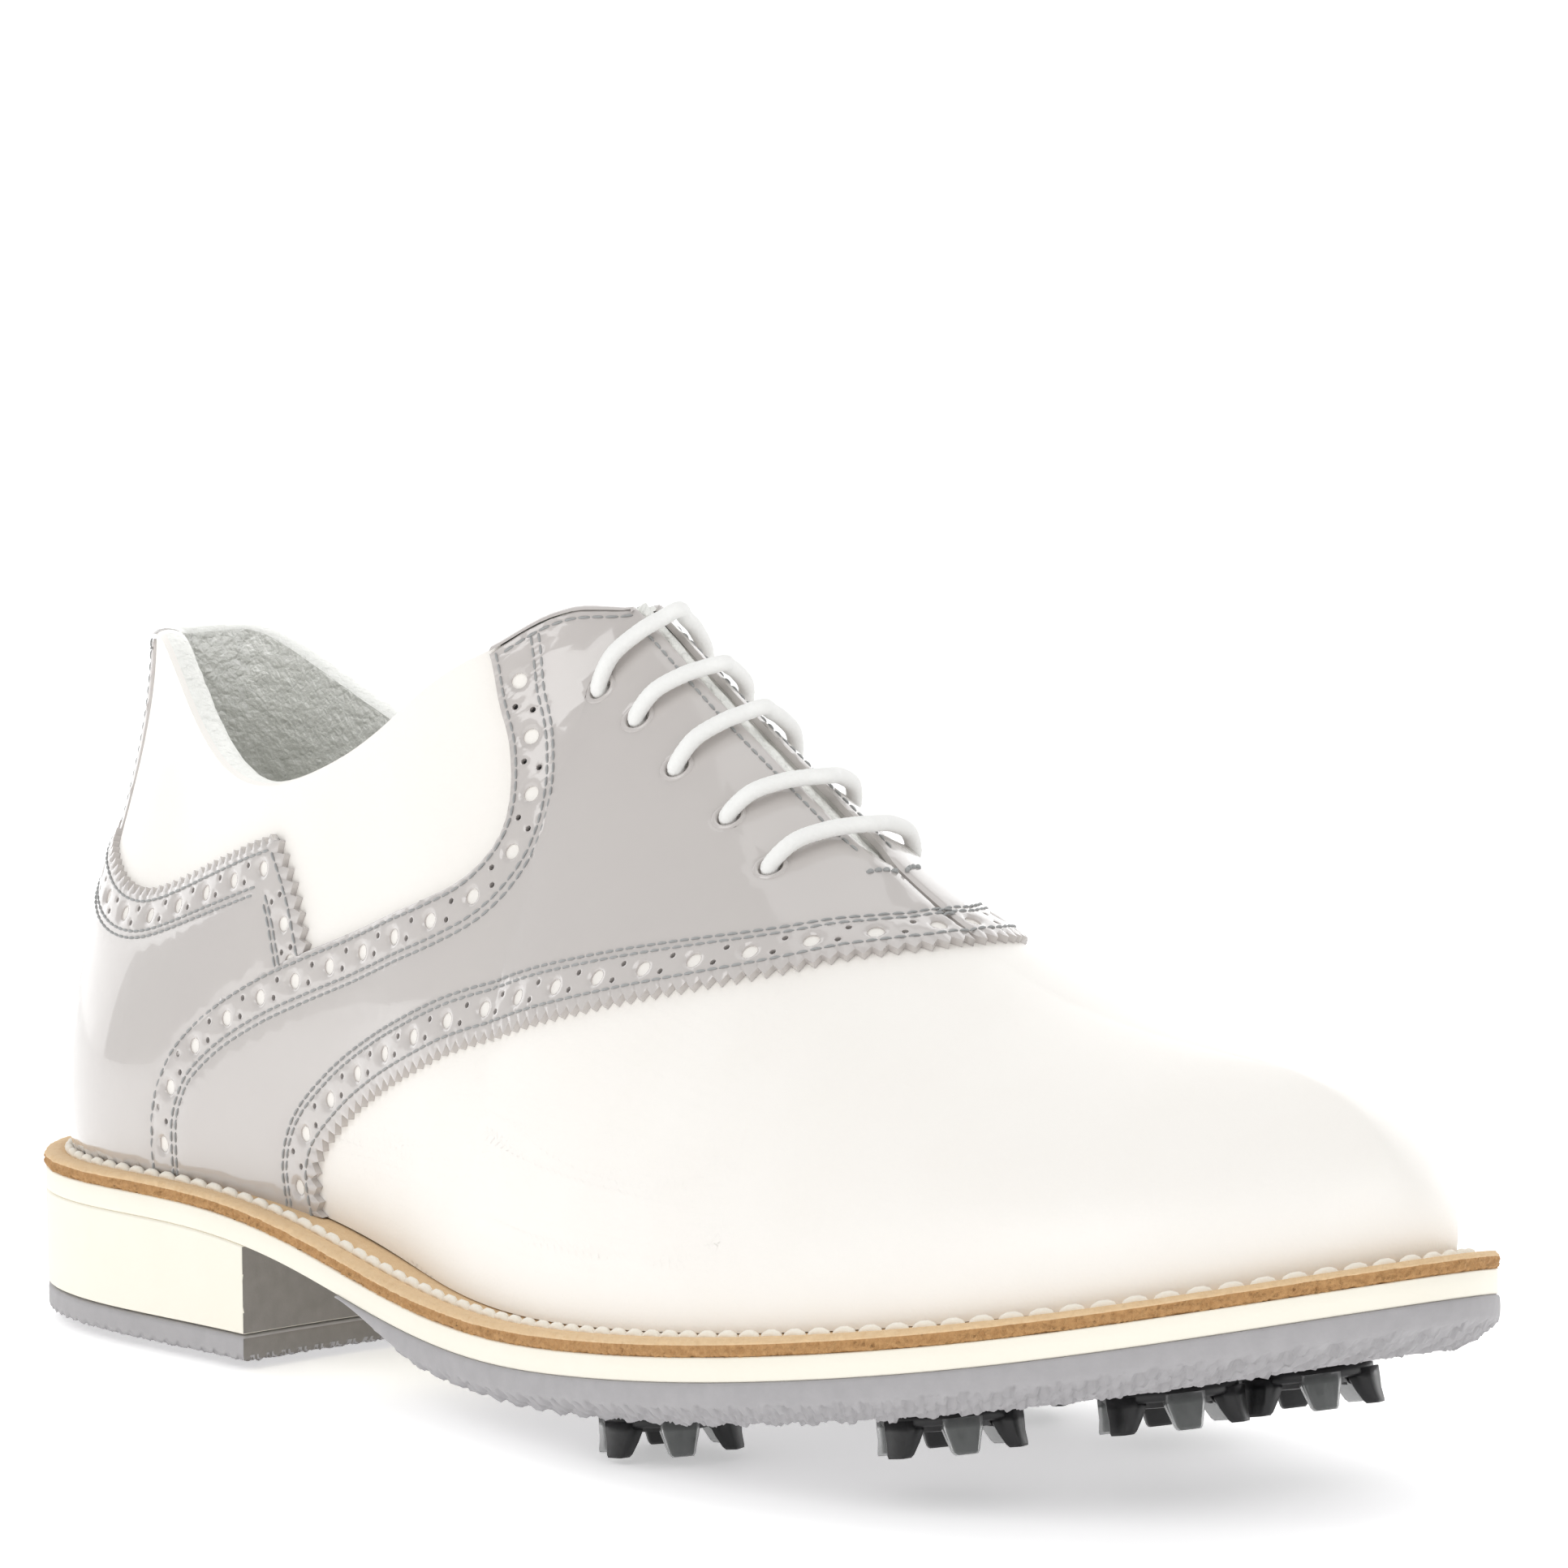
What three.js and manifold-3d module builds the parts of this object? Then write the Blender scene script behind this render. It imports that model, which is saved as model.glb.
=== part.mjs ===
// A right golf shoe: welted saddle oxford with a stacked heel and twist-in cleats.
// Millimetres, +X toward the toe, lateral side -Y, +Z up, cleat tips and heel lugs on z = 0.
import * as THREE from "three";
import { mergeVertices } from "three/addons/utils/BufferGeometryUtils.js";
import Module from "manifold-3d";

const wasm = await Module();
wasm.setup();

// ---- driving sizes ----
const LENGTH = 303; // sole edge, heel to toe
const LATERAL = 1; // scale of the lateral half width of the sole
const MEDIAL = 1; // scale of the medial half width of the sole
const UPPER_RISE = 1; // scale of the upper's height over the welt
const GAP = 0.35; // space left between touching pieces

const MIDSOLE = 3.2; // midsole thickness
const OUTSOLE_WALL = 3.8; // outsole side wall height
const TREAD = 2.4; // how far the tread stands below the side wall
const WELT = 2.6; // welt thickness
const LEDGE = 7; // feather line inside the sole edge
const INSOLE = 2.2; // insole board thickness
const SOCK = 1.4; // sock liner thickness

const LEATHER = 1.2; // vamp and quarter leather
const OVERLAY = 1.2; // saddle and foxing leather
const STIFF = 1.1; // heel counter and toe puff
const LINING = 1.1; // lining leather

const HEEL_LENGTH = 83; // back of the heel to its breast
const OUTSOLE_BACK = 112; // the outsole starts in the waist, ahead of the heel
const HEEL_TAPER = 1.5; // heel block is smaller at the bottom by this
const LIFT_BOTTOM = 1.2; // top lift's running face over the floor
const LIFT = 4.2; // top lift thickness
const LUG_RADIUS = 2.4;

const LACE_RADIUS = 1.25;
const EYELET_OUTER = 3.4;
const EYELET_THICK = 0.5;
const EYELET_PLAY = 0.2; // the ring's hole is wider than the leather's by this
const HOLE_PLAY = 0.7; // room between the lace and its hole, where it turns
const HOLE_RADIUS = LACE_RADIUS + HOLE_PLAY;
const FACING_GAP = 7; // width of the slot between the facings

const CLEAT_RADIUS = 10.8;
const CLEAT_DISC = 2;
const LEG_REACH = 9; // ring radius of the cleat legs
const STUD_RADIUS = 4.6;
const STUD_HEIGHT = 3.4;
const SOCKET_WALL = 1.8;
const SOCKET_ROOF = 1.2;

// depths of the leather layers, measured outward from the last
const OUTER_BASE = LEATHER + GAP;
const OUTER_TOP = OUTER_BASE + OVERLAY;
const STIFF_TOP = -GAP;
const STIFF_BASE = STIFF_TOP - STIFF;
const LINING_TOP = STIFF_BASE - GAP;
const LINING_BASE = LINING_TOP - LINING;
const EYELET_TOP = LINING_BASE - 2 * GAP;
const LACE_UNDER = EYELET_TOP - EYELET_THICK - 2 * GAP - LACE_RADIUS;
const LACE_OVER = OUTER_TOP + GAP + LACE_RADIUS;
const TONGUE_TOP = LACE_UNDER - LACE_RADIUS - GAP;
const TONGUE = 1.4;

// ---- sole outline, lateral side from the heel to the toe, then back on the medial side ----
const EDGE = [
  [0, 0], [5, -14], [18, -26], [40, -33], [75, -34], [105, -37], [135, -42.5],
  [165, -49], [190, -53], [215, -55], [240, -52], [265, -43], [285, -29], [298, -12],
  [303, 5], [298, 20], [285, 32], [265, 42], [240, 48.5], [215, 50.5], [190, 47.5],
  [165, 41], [135, 33], [105, 30], [75, 32], [40, 33], [18, 26], [5, 14],
];
const edgeCurve = new THREE.CatmullRomCurve3(
  EDGE.map(([x, y]) => new THREE.Vector3((x * LENGTH) / 303, y * (y < 0 ? LATERAL : MEDIAL), 0)),
  true,
  "catmullrom",
  0.5,
);
// height of the midsole's top face along the shoe
const PROFILE = [
  [-6, 24], [18, 24.2], [42, 24.4], [66, 24.4], [90, 22.4], [114, 18.6], [138, 15.9],
  [162, 15.6], [186, 17.2], [210, 19.6], [234, 22.5], [258, 26], [282, 30.6], [309, 37],
];
const profileCurve = new THREE.SplineCurve(
  PROFILE.map(([x, z]) => new THREE.Vector2((x * LENGTH) / 303, z)),
);
const PROFILE_X = [];
const PROFILE_Z = [];
for (let i = 0; i <= 260; i++) {
  const p = profileCurve.getPoint(i / 260);
  PROFILE_X.push(p.x);
  PROFILE_Z.push(p.y);
}
function soleZ(x) {
  let i = 0;
  while (i < 259 && PROFILE_X[i + 1] < x) i++;
  const t = (x - PROFILE_X[i]) / (PROFILE_X[i + 1] - PROFILE_X[i]);
  return PROFILE_Z[i] + (PROFILE_Z[i + 1] - PROFILE_Z[i]) * Math.min(1, Math.max(0, t));
}
// point of the sole edge moved outward by d; u counts the control points, 0 to 28
function edgePoint(u, d) {
  const n = EDGE.length;
  const t = (((u % n) + n) % n) / n;
  const p = edgeCurve.getPoint(t);
  const q = edgeCurve.getPoint((t + 0.0005) % 1);
  const dir = q.clone().sub(p).normalize();
  return new THREE.Vector3(p.x + dir.y * d, p.y - dir.x * d, 0);
}

// ---- the last: ribs from the feather line to the topline and the ridge ----
const RIB_EDGE = [0, 1, 2, 2.9, 3.6, 4.17, 4.93, 5.6, 6.27, 7, 8, 9, 9.93, 10.9, 12.2, 14];
const RIM_LATERAL = [
  [11, 4, 107.2], [14.5, -1.5, 107.6], [27.5, -6.5, 107.2], [45, -13, 95.5], [63, -19.5, 89.3],
  [80, -22.5, 89], [101, -22, 96.8], [121, -19, 109], [138.5, 0, 118],
];
const RIM_MEDIAL = [
  [11, 4, 107.2], [13.5, 10, 107.6], [22, 17, 107.8], [42, 20.5, 99], [62, 22.5, 91],
  [80, 23, 90], [101, 22, 97.5], [119, 19, 107.5], [138.5, 0, 118],
];
const RIDGE = [
  [138.5, 0, 118], [157.5, 0, 104.5], [178, 0.5, 91.2], [197, 1, 79], [213.5, 1.5, 71],
  [230.5, 2, 65.2], [249, 3, 62], [267, 4, 60.2],
];
// rise over the feather, bulge outward, reach of the top handle outward, drop of the top handle
const RISE = [28, 28, 27, 25, 23, 23, 25, 28, 30, 27, 24, 22, 20, 18, 17, 17];
const BULGE = [6, 5.5, 5, 4.5, 4, 3.5, 3, 3, 3, 3, 3, 3, 3.5, 4, 4, 4];
const REACH = [0, 0, 0, 0, 0, 0, 0, 2, 9, 12, 14, 16, 17, 16, 13, 13];
const DROP = [26, 26, 25, 22, 19, 18, 20, 24, 7, 5, 3, 1, 0, 0, 0, 0];

function pick(list, t) {
  const i = Math.min(list.length - 2, Math.floor(t));
  const f = t - i;
  const a = list[Math.max(0, i - 1)];
  const b = list[i];
  const c = list[i + 1];
  const d = list[Math.min(list.length - 1, i + 2)];
  const m = (c - a) * 0.5;
  const n = (d - b) * 0.5;
  return (
    b * (2 * f ** 3 - 3 * f ** 2 + 1) + m * (f ** 3 - 2 * f ** 2 + f) +
    c * (-2 * f ** 3 + 3 * f ** 2) + n * (f ** 3 - f ** 2)
  );
}
function curveThrough(points) {
  return new THREE.CatmullRomCurve3(
    points.map(([x, y, z]) => new THREE.Vector3((x * LENGTH) / 303, y, z)),
    false,
    "catmullrom",
    0.5,
  );
}
const rimCurve = curveThrough([...RIM_MEDIAL.slice(1).reverse(), ...RIM_LATERAL]);
const ridgeCurve = curveThrough(RIDGE);
// s runs 0 to 15 on the lateral side and 0 to -15 on the medial side
function topPoint(s) {
  const k = Math.abs(s);
  const p = k >= 8 ? ridgeCurve.getPoint((k - 8) / 7) : rimCurve.getPoint((s + 8) / 16);
  const base = soleZ(p.x);
  p.z = base + (p.z - base) * UPPER_RISE;
  return p;
}
function ribPoint(s, v) {
  const k = Math.abs(s);
  const side = s < 0 ? -1 : 1;
  const u = side * pick(RIB_EDGE, k);
  const foot = edgePoint(u, -LEDGE);
  const out = edgePoint(u, -LEDGE + 1).sub(foot);
  foot.z = soleZ(foot.x) + WELT + GAP;
  const top = topPoint(s);
  const low = foot.clone().addScaledVector(out, pick(BULGE, k));
  low.z += pick(RISE, k) * UPPER_RISE;
  const high = top.clone().addScaledVector(out, pick(REACH, k));
  high.z -= pick(DROP, k) * UPPER_RISE;
  return new THREE.CubicBezierCurve3(foot, low, high, top).getPoint(v);
}
const COLUMNS = 30; // per side
const ROWS = 5;
// open skin of the last, and its vertex normals
function lastSkin() {
  const grid = [];
  const positions = [];
  const index = [];
  for (let c = -COLUMNS; c < COLUMNS; c++) {
    const column = [];
    for (let r = 0; r <= ROWS; r++) {
      const s = (c * 15) / COLUMNS;
      if (r === ROWS && s >= 8) {
        column.push(grid[COLUMNS - c][ROWS]);
        continue;
      }
      const p = ribPoint(s, r / ROWS);
      column.push(positions.length / 3);
      positions.push(p.x, p.y, p.z);
    }
    grid.push(column);
  }
  grid.push(grid[0]);
  for (let c = 0; c < 2 * COLUMNS; c++) {
    for (let r = 0; r < ROWS; r++) {
      const [a, b, d, e] = [grid[c][r], grid[c + 1][r], grid[c + 1][r + 1], grid[c][r + 1]];
      if (b !== d && a !== b) index.push(a, b, d);
      if (d !== e && a !== e) index.push(a, d, e);
    }
  }
  const g = new THREE.BufferGeometry();
  g.setAttribute("position", new THREE.Float32BufferAttribute(positions, 3));
  g.setIndex(index);
  g.computeVertexNormals();
  return { grid, g };
}
const skin = lastSkin();

function solidOf(g) {
  const clean = g.index ? g.toNonIndexed() : g.clone();
  clean.deleteAttribute("normal");
  clean.deleteAttribute("uv");
  const merged = mergeVertices(clean, 1e-4);
  return new wasm.Manifold(
    new wasm.Mesh({
      numProp: 3,
      vertProperties: merged.attributes.position.array,
      triVerts: new Uint32Array(merged.index.array),
    }),
  );
}
function geometryOf(solid) {
  const m = solid.getMesh();
  const g = new THREE.BufferGeometry();
  g.setAttribute("position", new THREE.BufferAttribute(m.vertProperties, 3));
  g.setIndex(new THREE.BufferAttribute(m.triVerts, 1));
  return g;
}
// closes a band of columns across, lateral column to medial column
function capStrips(index, ring, half, up) {
  for (let i = 1; i <= half; i++) {
    const [a, b, c, d] = [ring[half + i], ring[half + i - 1], ring[half - i + 1], ring[half - i]];
    const quads = up ? [[a, c, b], [a, d, c]] : [[a, b, c], [a, c, d]];
    for (const t of quads) {
      if (t[0] !== t[1] && t[1] !== t[2] && t[0] !== t[2]) index.push(...t);
    }
  }
}
const REACH_PAST = 4; // how far a cutting last runs past the feather and the rim
// the last grown by d, closed; a cutting last also runs past its own openings
function lastSolid(d, cutting) {
  const { grid, g } = skin;
  const pos = g.attributes.position;
  const nor = g.attributes.normal;
  const footRow = new Set(grid.map((column) => column[0]));
  const points = [];
  for (let i = 0; i < pos.count; i++) {
    const n = new THREE.Vector3().fromBufferAttribute(nor, i);
    if (footRow.has(i)) n.setZ(0).normalize();
    points.push(new THREE.Vector3().fromBufferAttribute(pos, i).addScaledVector(n, d));
  }
  const index = [...g.index.array];
  const rimHalf = (8 * COLUMNS) / 15;
  let foot = grid.map((column) => column[0]);
  let rim = [];
  for (let c = -rimHalf; c <= rimHalf; c++) rim.push(grid[COLUMNS + c][ROWS]);
  if (cutting) {
    const moved = new Map();
    const past = (id, dir) => {
      if (!moved.has(id)) {
        moved.set(id, points.length);
        points.push(points[id].clone().addScaledVector(dir, REACH_PAST));
      }
      return moved.get(id);
    };
    const lowFoot = foot.map((id) => past(id, new THREE.Vector3(0, 0, -1)));
    const highRim = rim.map((id, i) => {
      const under = points[grid[COLUMNS - rimHalf + i][ROWS - 1]];
      const dir = points[id].clone().sub(under).normalize();
      if (i === 0 || i === rim.length - 1) dir.set(0, 0, 1);
      return past(id, dir);
    });
    for (let i = 0; i < foot.length - 1; i++) {
      index.push(foot[i], lowFoot[i], lowFoot[i + 1], foot[i], lowFoot[i + 1], foot[i + 1]);
    }
    for (let i = 0; i < rim.length - 1; i++) {
      index.push(rim[i], rim[i + 1], highRim[i + 1], rim[i], highRim[i + 1], highRim[i]);
    }
    foot = lowFoot;
    rim = highRim;
  }
  capStrips(index, foot, COLUMNS, false);
  capStrips(index, rim, rimHalf, true);
  const out = new THREE.BufferGeometry();
  const flat = points.flatMap((p) => [p.x, p.y, p.z]);
  out.setAttribute("position", new THREE.Float32BufferAttribute(flat, 3));
  out.setIndex(index);
  return solidOf(out);
}
function layer(inner, outer) {
  return lastSolid(outer, false).subtract(lastSolid(inner, true));
}
// pattern outline in side view, run across the shoe from y0 to y1
function sidePrism(points, y0, y1) {
  const shape = new THREE.Shape(points.map(([x, z]) => new THREE.Vector2(x, z)));
  const g = new THREE.ExtrudeGeometry(shape, { depth: y1 - y0, bevelEnabled: false });
  g.rotateX(Math.PI / 2);
  g.translate(0, y1, 0);
  return solidOf(g);
}
// outline seen from above, run up from z0 to z1
function planPrism(points, z0, z1) {
  const shape = new THREE.Shape(points.map(([x, y]) => new THREE.Vector2(x, y)));
  const g = new THREE.ExtrudeGeometry(shape, { depth: z1 - z0, bevelEnabled: false });
  g.translate(0, 0, z0);
  return solidOf(g);
}
function disc(radius, z0, z1, sides) {
  const g = new THREE.CylinderGeometry(radius, radius, z1 - z0, sides);
  g.rotateX(Math.PI / 2);
  g.translate(0, 0, (z0 + z1) / 2);
  return solidOf(g);
}

// ---- sole slabs ----
const EDGE_STEPS = 56;
// a slab under or over the sole line: edge moved by dTop and dBot, faces at zTop(x) and zBot(x)
function slab(dTop, dBot, zTop, zBot) {
  const positions = [];
  const top = [];
  const bottom = [];
  for (let i = 0; i <= EDGE_STEPS; i++) {
    const u = ((i - EDGE_STEPS / 2) * 28) / EDGE_STEPS;
    if (i === EDGE_STEPS) {
      top.push(top[0]);
      bottom.push(bottom[0]);
      continue;
    }
    const a = edgePoint(u, dTop);
    const b = edgePoint(u, dBot);
    top.push(positions.length / 3);
    positions.push(a.x, a.y, zTop(a.x));
    bottom.push(positions.length / 3);
    positions.push(b.x, b.y, zBot(b.x));
  }
  const index = [];
  for (let i = 0; i < EDGE_STEPS; i++) {
    index.push(bottom[i], bottom[i + 1], top[i + 1], bottom[i], top[i + 1], top[i]);
  }
  capStrips(index, top, EDGE_STEPS / 2, true);
  capStrips(index, bottom, EDGE_STEPS / 2, false);
  const g = new THREE.BufferGeometry();
  g.setAttribute("position", new THREE.Float32BufferAttribute(positions, 3));
  g.setIndex(index);
  return solidOf(g);
}
const over = (dz) => (x) => soleZ(x) + dz;
const FAR = 200;
function block(x0, x1) {
  return planPrism([[x0, -FAR], [x1, -FAR], [x1, FAR], [x0, FAR]], -20, FAR);
}

// ---- heights of the stacked layers, from the sole line ----
const MIDSOLE_BOTTOM = -MIDSOLE;
const OUTSOLE_TOP = MIDSOLE_BOTTOM - GAP;
const WALL_BOTTOM = OUTSOLE_TOP - OUTSOLE_WALL;
const TREAD_BOTTOM = WALL_BOTTOM - TREAD;
const FOOT = WELT + GAP;
const LIFT_TOP = LIFT_BOTTOM + LIFT;
const INSOLE_PLAY = 1.1; // insole edge to the lining
const INSIDE = -LEDGE + LINING_BASE - INSOLE_PLAY;

// ---- pattern lines in side view ----
const SADDLE_REAR = [
  [51.5, 20], [52.4, 29], [54.4, 38.2], [61.8, 50.3], [82.7, 61.5], [100, 68], [118, 73.4],
  [130, 77.5], [134.8, 84], [132.4, 91.5], [127.8, 100.2], [125.5, 112],
];
const SADDLE_FRONT = [
  [216, 75], [205, 73.8], [189.3, 71.2], [168.6, 66.7], [142.3, 59], [120, 48.6],
  [106.2, 40.9], [98, 32.6], [95.5, 20],
];
const SEAM = [
  [194, 120], [193, 84], [165, 77], [140, 69], [112, 56], [90, 41], [84, 31], [82, 20],
];
const FOXING_TOP = [
  [-10, 84], [6, 84], [20, 75.5], [31, 70], [45, 71.8], [64.4, 76.6], [79, 81],
];
const FOXING_BACK = 84; // height of the heel foxing behind the heel
const FOXING_FRONT = [[79, 81], [85, 73.2], [88.5, 64]];
// plane bounds well clear of the shoe
const BEHIND = -60;
const AHEAD = 400;
const UNDER = 5;
const ABOVE = 160;
const SLOT_START = 125;
const SLOT_TAPER = 184;
const SLOT_END = 193;
const BACK_SPLIT = 2.5; // where the quarters meet behind the heel
const FRONT_SPLIT = 0.8; // where the two sides meet over the instep
const SIDE_STEP = 60; // inside the collar mouth, where the dividing line steps across

const EYELETS = [[8.22, 0.79], [8.58, 0.8], [9.1, 0.79], [9.68, 0.79], [10.2, 0.77]];

// point and outward direction on the last at rib s, height v, moved out by d
function lastPoint(s, v, d) {
  const e = 0.01;
  const p = ribPoint(s, v);
  const w = v > 0.98 ? -e : e;
  const along = ribPoint(s + e, v).sub(p);
  const up = ribPoint(s, v + w).sub(p).multiplyScalar(Math.sign(w));
  const n = along.cross(up).normalize();
  return { p: p.addScaledVector(n, d), n };
}
function alongNormal(g, s, v, d) {
  const { p, n } = lastPoint(s, v, d);
  g.applyQuaternion(new THREE.Quaternion().setFromUnitVectors(new THREE.Vector3(0, 0, 1), n));
  g.translate(p.x, p.y, p.z);
  return g;
}
function rod(radius, length, sides) {
  const g = new THREE.CylinderGeometry(radius, radius, length, sides);
  g.rotateX(Math.PI / 2);
  return g;
}
function eyeletHoles(side) {
  let all = null;
  for (const [s, v] of EYELETS) {
    const one = solidOf(alongNormal(rod(HOLE_RADIUS, 14, 10), side * s, v, 0));
    all = all ? all.add(one) : one;
  }
  return all;
}
const holes = eyeletHoles(1).add(eyeletHoles(-1));
function slotCutter() {
  const half = FACING_GAP / 2;
  const y = FRONT_SPLIT;
  return planPrism(
    [[SLOT_START, y - half], [SLOT_TAPER, y - half], [SLOT_END, y], [SLOT_TAPER, y + half],
      [SLOT_START, y + half]],
    60,
    FAR,
  );
}
const slot = slotCutter();
function halfPlan(side) {
  const shift = (side * GAP) / 2;
  const near = FRONT_SPLIT + shift;
  const back = BACK_SPLIT + shift;
  return planPrism(
    side < 0
      ? [[BEHIND, -FAR], [AHEAD, -FAR], [AHEAD, near], [SIDE_STEP, near], [SIDE_STEP, back],
        [BEHIND, back]]
      : [[BEHIND, back], [SIDE_STEP, back], [SIDE_STEP, near], [AHEAD, near], [AHEAD, FAR],
        [BEHIND, FAR]],
    0,
    FAR,
  );
}
const lateralHalf = halfPlan(-1);
const medialHalf = halfPlan(1);
const saddleShape = [...SADDLE_REAR, [140, 140], [230, 110], ...SADDLE_FRONT];
const behindSaddle = [
  [BEHIND, 10], [51.5 - GAP, 10], ...SADDLE_REAR.map(([x, z]) => [x - GAP, z + GAP]),
  [SLOT_START, ABOVE], [BEHIND, ABOVE],
];
const aheadOfSeam = [...SEAM, [82, UNDER], [AHEAD, UNDER], [AHEAD, 120]];
const behindSeam = [
  ...SEAM.map(([x, z]) => [x - GAP, z + GAP]),
  [81.6, UNDER], [BEHIND, UNDER], [BEHIND, ABOVE], [193.6, ABOVE],
];

const outerLayer = layer(OUTER_BASE, OUTER_TOP).subtract(holes).subtract(slot);
const innerLayer = layer(0, LEATHER).subtract(holes).subtract(slot);
const stiffLayer = layer(STIFF_BASE, STIFF_TOP);
const liningLayer = layer(LINING_BASE, LINING_TOP).subtract(holes).subtract(slot);

const parts = new Map();
function add(name, solid, finish) {
  parts.set(name, [solid, finish]);
}
function material(color, roughness, metalness = 0) {
  return { color, roughness, metalness };
}
const whiteLeather = material(0xf4f2ee, 0.45);
const greyPatent = material(0xbcb8b8, 0.15);
const liningLeather = material(0xb8bcba, 0.5);
const creamEdge = material(0xf6f2e4, 0.45);
const tanLeather = material(0xb98a56, 0.7);
const greyRubber = material(0xa8a8a8, 0.8);
const whiteCord = material(0xf8f8f6, 0.8);
const blackPlastic = material(0x262626, 0.5);
const steel = material(0x9a9a9a, 0.35, 0.9);
const cork = material(0x8a6a45, 0.9);
const stiffener = material(0xcabf9f, 0.85);
const clearPlastic = material(0xe6e6e6, 0.3);

// ---- upper ----
const saddle = outerLayer.intersect(sidePrism(saddleShape, -FAR, FAR));
add("saddle_lateral", saddle.intersect(lateralHalf), greyPatent);
add("saddle_medial", saddle.intersect(medialHalf), greyPatent);
const foxingArea = sidePrism(
  [
    ...FOXING_TOP, ...FOXING_FRONT.slice(1),
    [100, 60], [100, UNDER], [BEHIND, UNDER], [BEHIND, FOXING_BACK],
  ],
  -FAR,
  FAR,
).intersect(sidePrism(behindSaddle, -FAR, FAR));
add("heel_foxing", outerLayer.intersect(foxingArea), greyPatent);
const backArea = sidePrism(
  [
    [-10, FOXING_BACK + GAP], [6, FOXING_BACK + GAP], [12, 81.2],
    [13, 88], [14.5, 97], [16, 120], [-10, 120],
  ],
  -FAR,
  FAR,
);
add("backstay", outerLayer.intersect(backArea), greyPatent);
add("vamp", innerLayer.intersect(sidePrism(aheadOfSeam, -FAR, FAR)), whiteLeather);
const quarters = innerLayer.intersect(sidePrism(behindSeam, -FAR, FAR));
add("quarter_lateral", quarters.intersect(lateralHalf), whiteLeather);
add("quarter_medial", quarters.intersect(medialHalf), whiteLeather);

const LINING_SEAM = 150;
const rearArea = [[BEHIND, UNDER], [LINING_SEAM, UNDER], [LINING_SEAM, ABOVE], [BEHIND, ABOVE]];
const liningFront = LINING_SEAM + GAP;
const frontArea = [[liningFront, UNDER], [AHEAD, UNDER], [AHEAD, ABOVE], [liningFront, ABOVE]];
add("quarter_lining", liningLayer.intersect(sidePrism(rearArea, -FAR, FAR)), liningLeather);
add("vamp_lining", liningLayer.intersect(sidePrism(frontArea, -FAR, FAR)), liningLeather);
const counterArea = [[BEHIND, UNDER], [74, UNDER], [70, 45], [40, 66], [-10, 72], [BEHIND, 72]];
add("heel_counter", stiffLayer.intersect(sidePrism(counterArea, -FAR, FAR)), stiffener);
const puffArea = [[268, UNDER], [262, 90], [AHEAD, 90], [AHEAD, UNDER]];
add("toe_puff", stiffLayer.intersect(sidePrism(puffArea, -FAR, FAR)), stiffener);

const TONGUE_ROOT = 196;
const TONGUE_END = 205;
const TONGUE_HALF = 19;
const TONGUE_BACK = 128;
const TONGUE_LOW = 62;
function tongueSolid() {
  const area = planPrism(
    [[TONGUE_BACK, -TONGUE_HALF], [TONGUE_END, 6 - TONGUE_HALF], [TONGUE_END, TONGUE_HALF - 4],
      [TONGUE_BACK, TONGUE_HALF]],
    TONGUE_LOW,
    FAR,
  );
  const root = block(TONGUE_ROOT, TONGUE_END).intersect(area);
  const sheet = layer(TONGUE_TOP - TONGUE, TONGUE_TOP).intersect(area);
  return sheet.add(layer(TONGUE_TOP - TONGUE, LINING_BASE - GAP).intersect(root));
}
add("tongue", tongueSolid(), liningLeather);

// ---- lace: five bars over the facings, runs hidden under them ----
const BEND = 1.5;
function lacePath() {
  const points = [];
  const put = (s, v, d) => points.push(lastPoint(s, v, d).p);
  const leg = (side, i, down) => {
    const [s, v] = EYELETS[i];
    const depths = [LACE_OVER - BEND, 0.5, LACE_UNDER + BEND];
    if (!down) depths.reverse();
    for (const d of depths) put(side * s, v, d);
  };
  const bar = (side, i) => {
    const [s, v] = EYELETS[i];
    const steps = [0.05, 0.11, 0.17, 1];
    for (const f of steps) {
      if (f < 1) put(side * s, v + f - 0.02, LACE_OVER + (f === 0.05 ? 0.3 : 0.6));
    }
    const a = lastPoint(side * s, 0.985, LACE_OVER + 0.5).p;
    const b = lastPoint(-side * s, 0.985, LACE_OVER + 0.5).p;
    points.push(a.add(b).multiplyScalar(0.5));
    for (const f of steps.slice(0, 3).reverse()) {
      put(-side * s, v + f - 0.02, LACE_OVER + (f === 0.05 ? 0.3 : 0.6));
    }
  };
  const run = (side, i) => {
    const [s0, v0] = EYELETS[i];
    const [s1, v1] = EYELETS[i + 1];
    for (const f of [0.2, 0.5, 0.8]) put(side * (s0 + (s1 - s0) * f), v0 + (v1 - v0) * f, LACE_UNDER);
  };
  for (const v of [0.52, 0.6, 0.68, 0.745]) put(EYELETS[0][0], v, LACE_UNDER);
  let side = 1;
  for (let i = 0; i < EYELETS.length; i++) {
    leg(side, i, false);
    bar(side, i);
    side = -side;
    leg(side, i, true);
    if (i < EYELETS.length - 1) run(side, i);
  }
  for (const v of [0.72, 0.65, 0.57, 0.5]) put(side * EYELETS[4][0], v, LACE_UNDER);
  return points;
}
const lacePoints = lacePath();
function circle(radius, sides) {
  const pts = [];
  for (let i = 0; i < sides; i++) {
    const a = (2 * Math.PI * i) / sides;
    pts.push(new THREE.Vector2(radius * Math.cos(a), radius * Math.sin(a)));
  }
  return new THREE.Shape(pts);
}
function tube(points, radius, sides, steps, closed) {
  const path = new THREE.CatmullRomCurve3(points, closed, "centripetal");
  const g = new THREE.ExtrudeGeometry(circle(radius, sides), {
    steps,
    bevelEnabled: false,
    extrudePath: path,
  });
  return solidOf(g);
}
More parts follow.
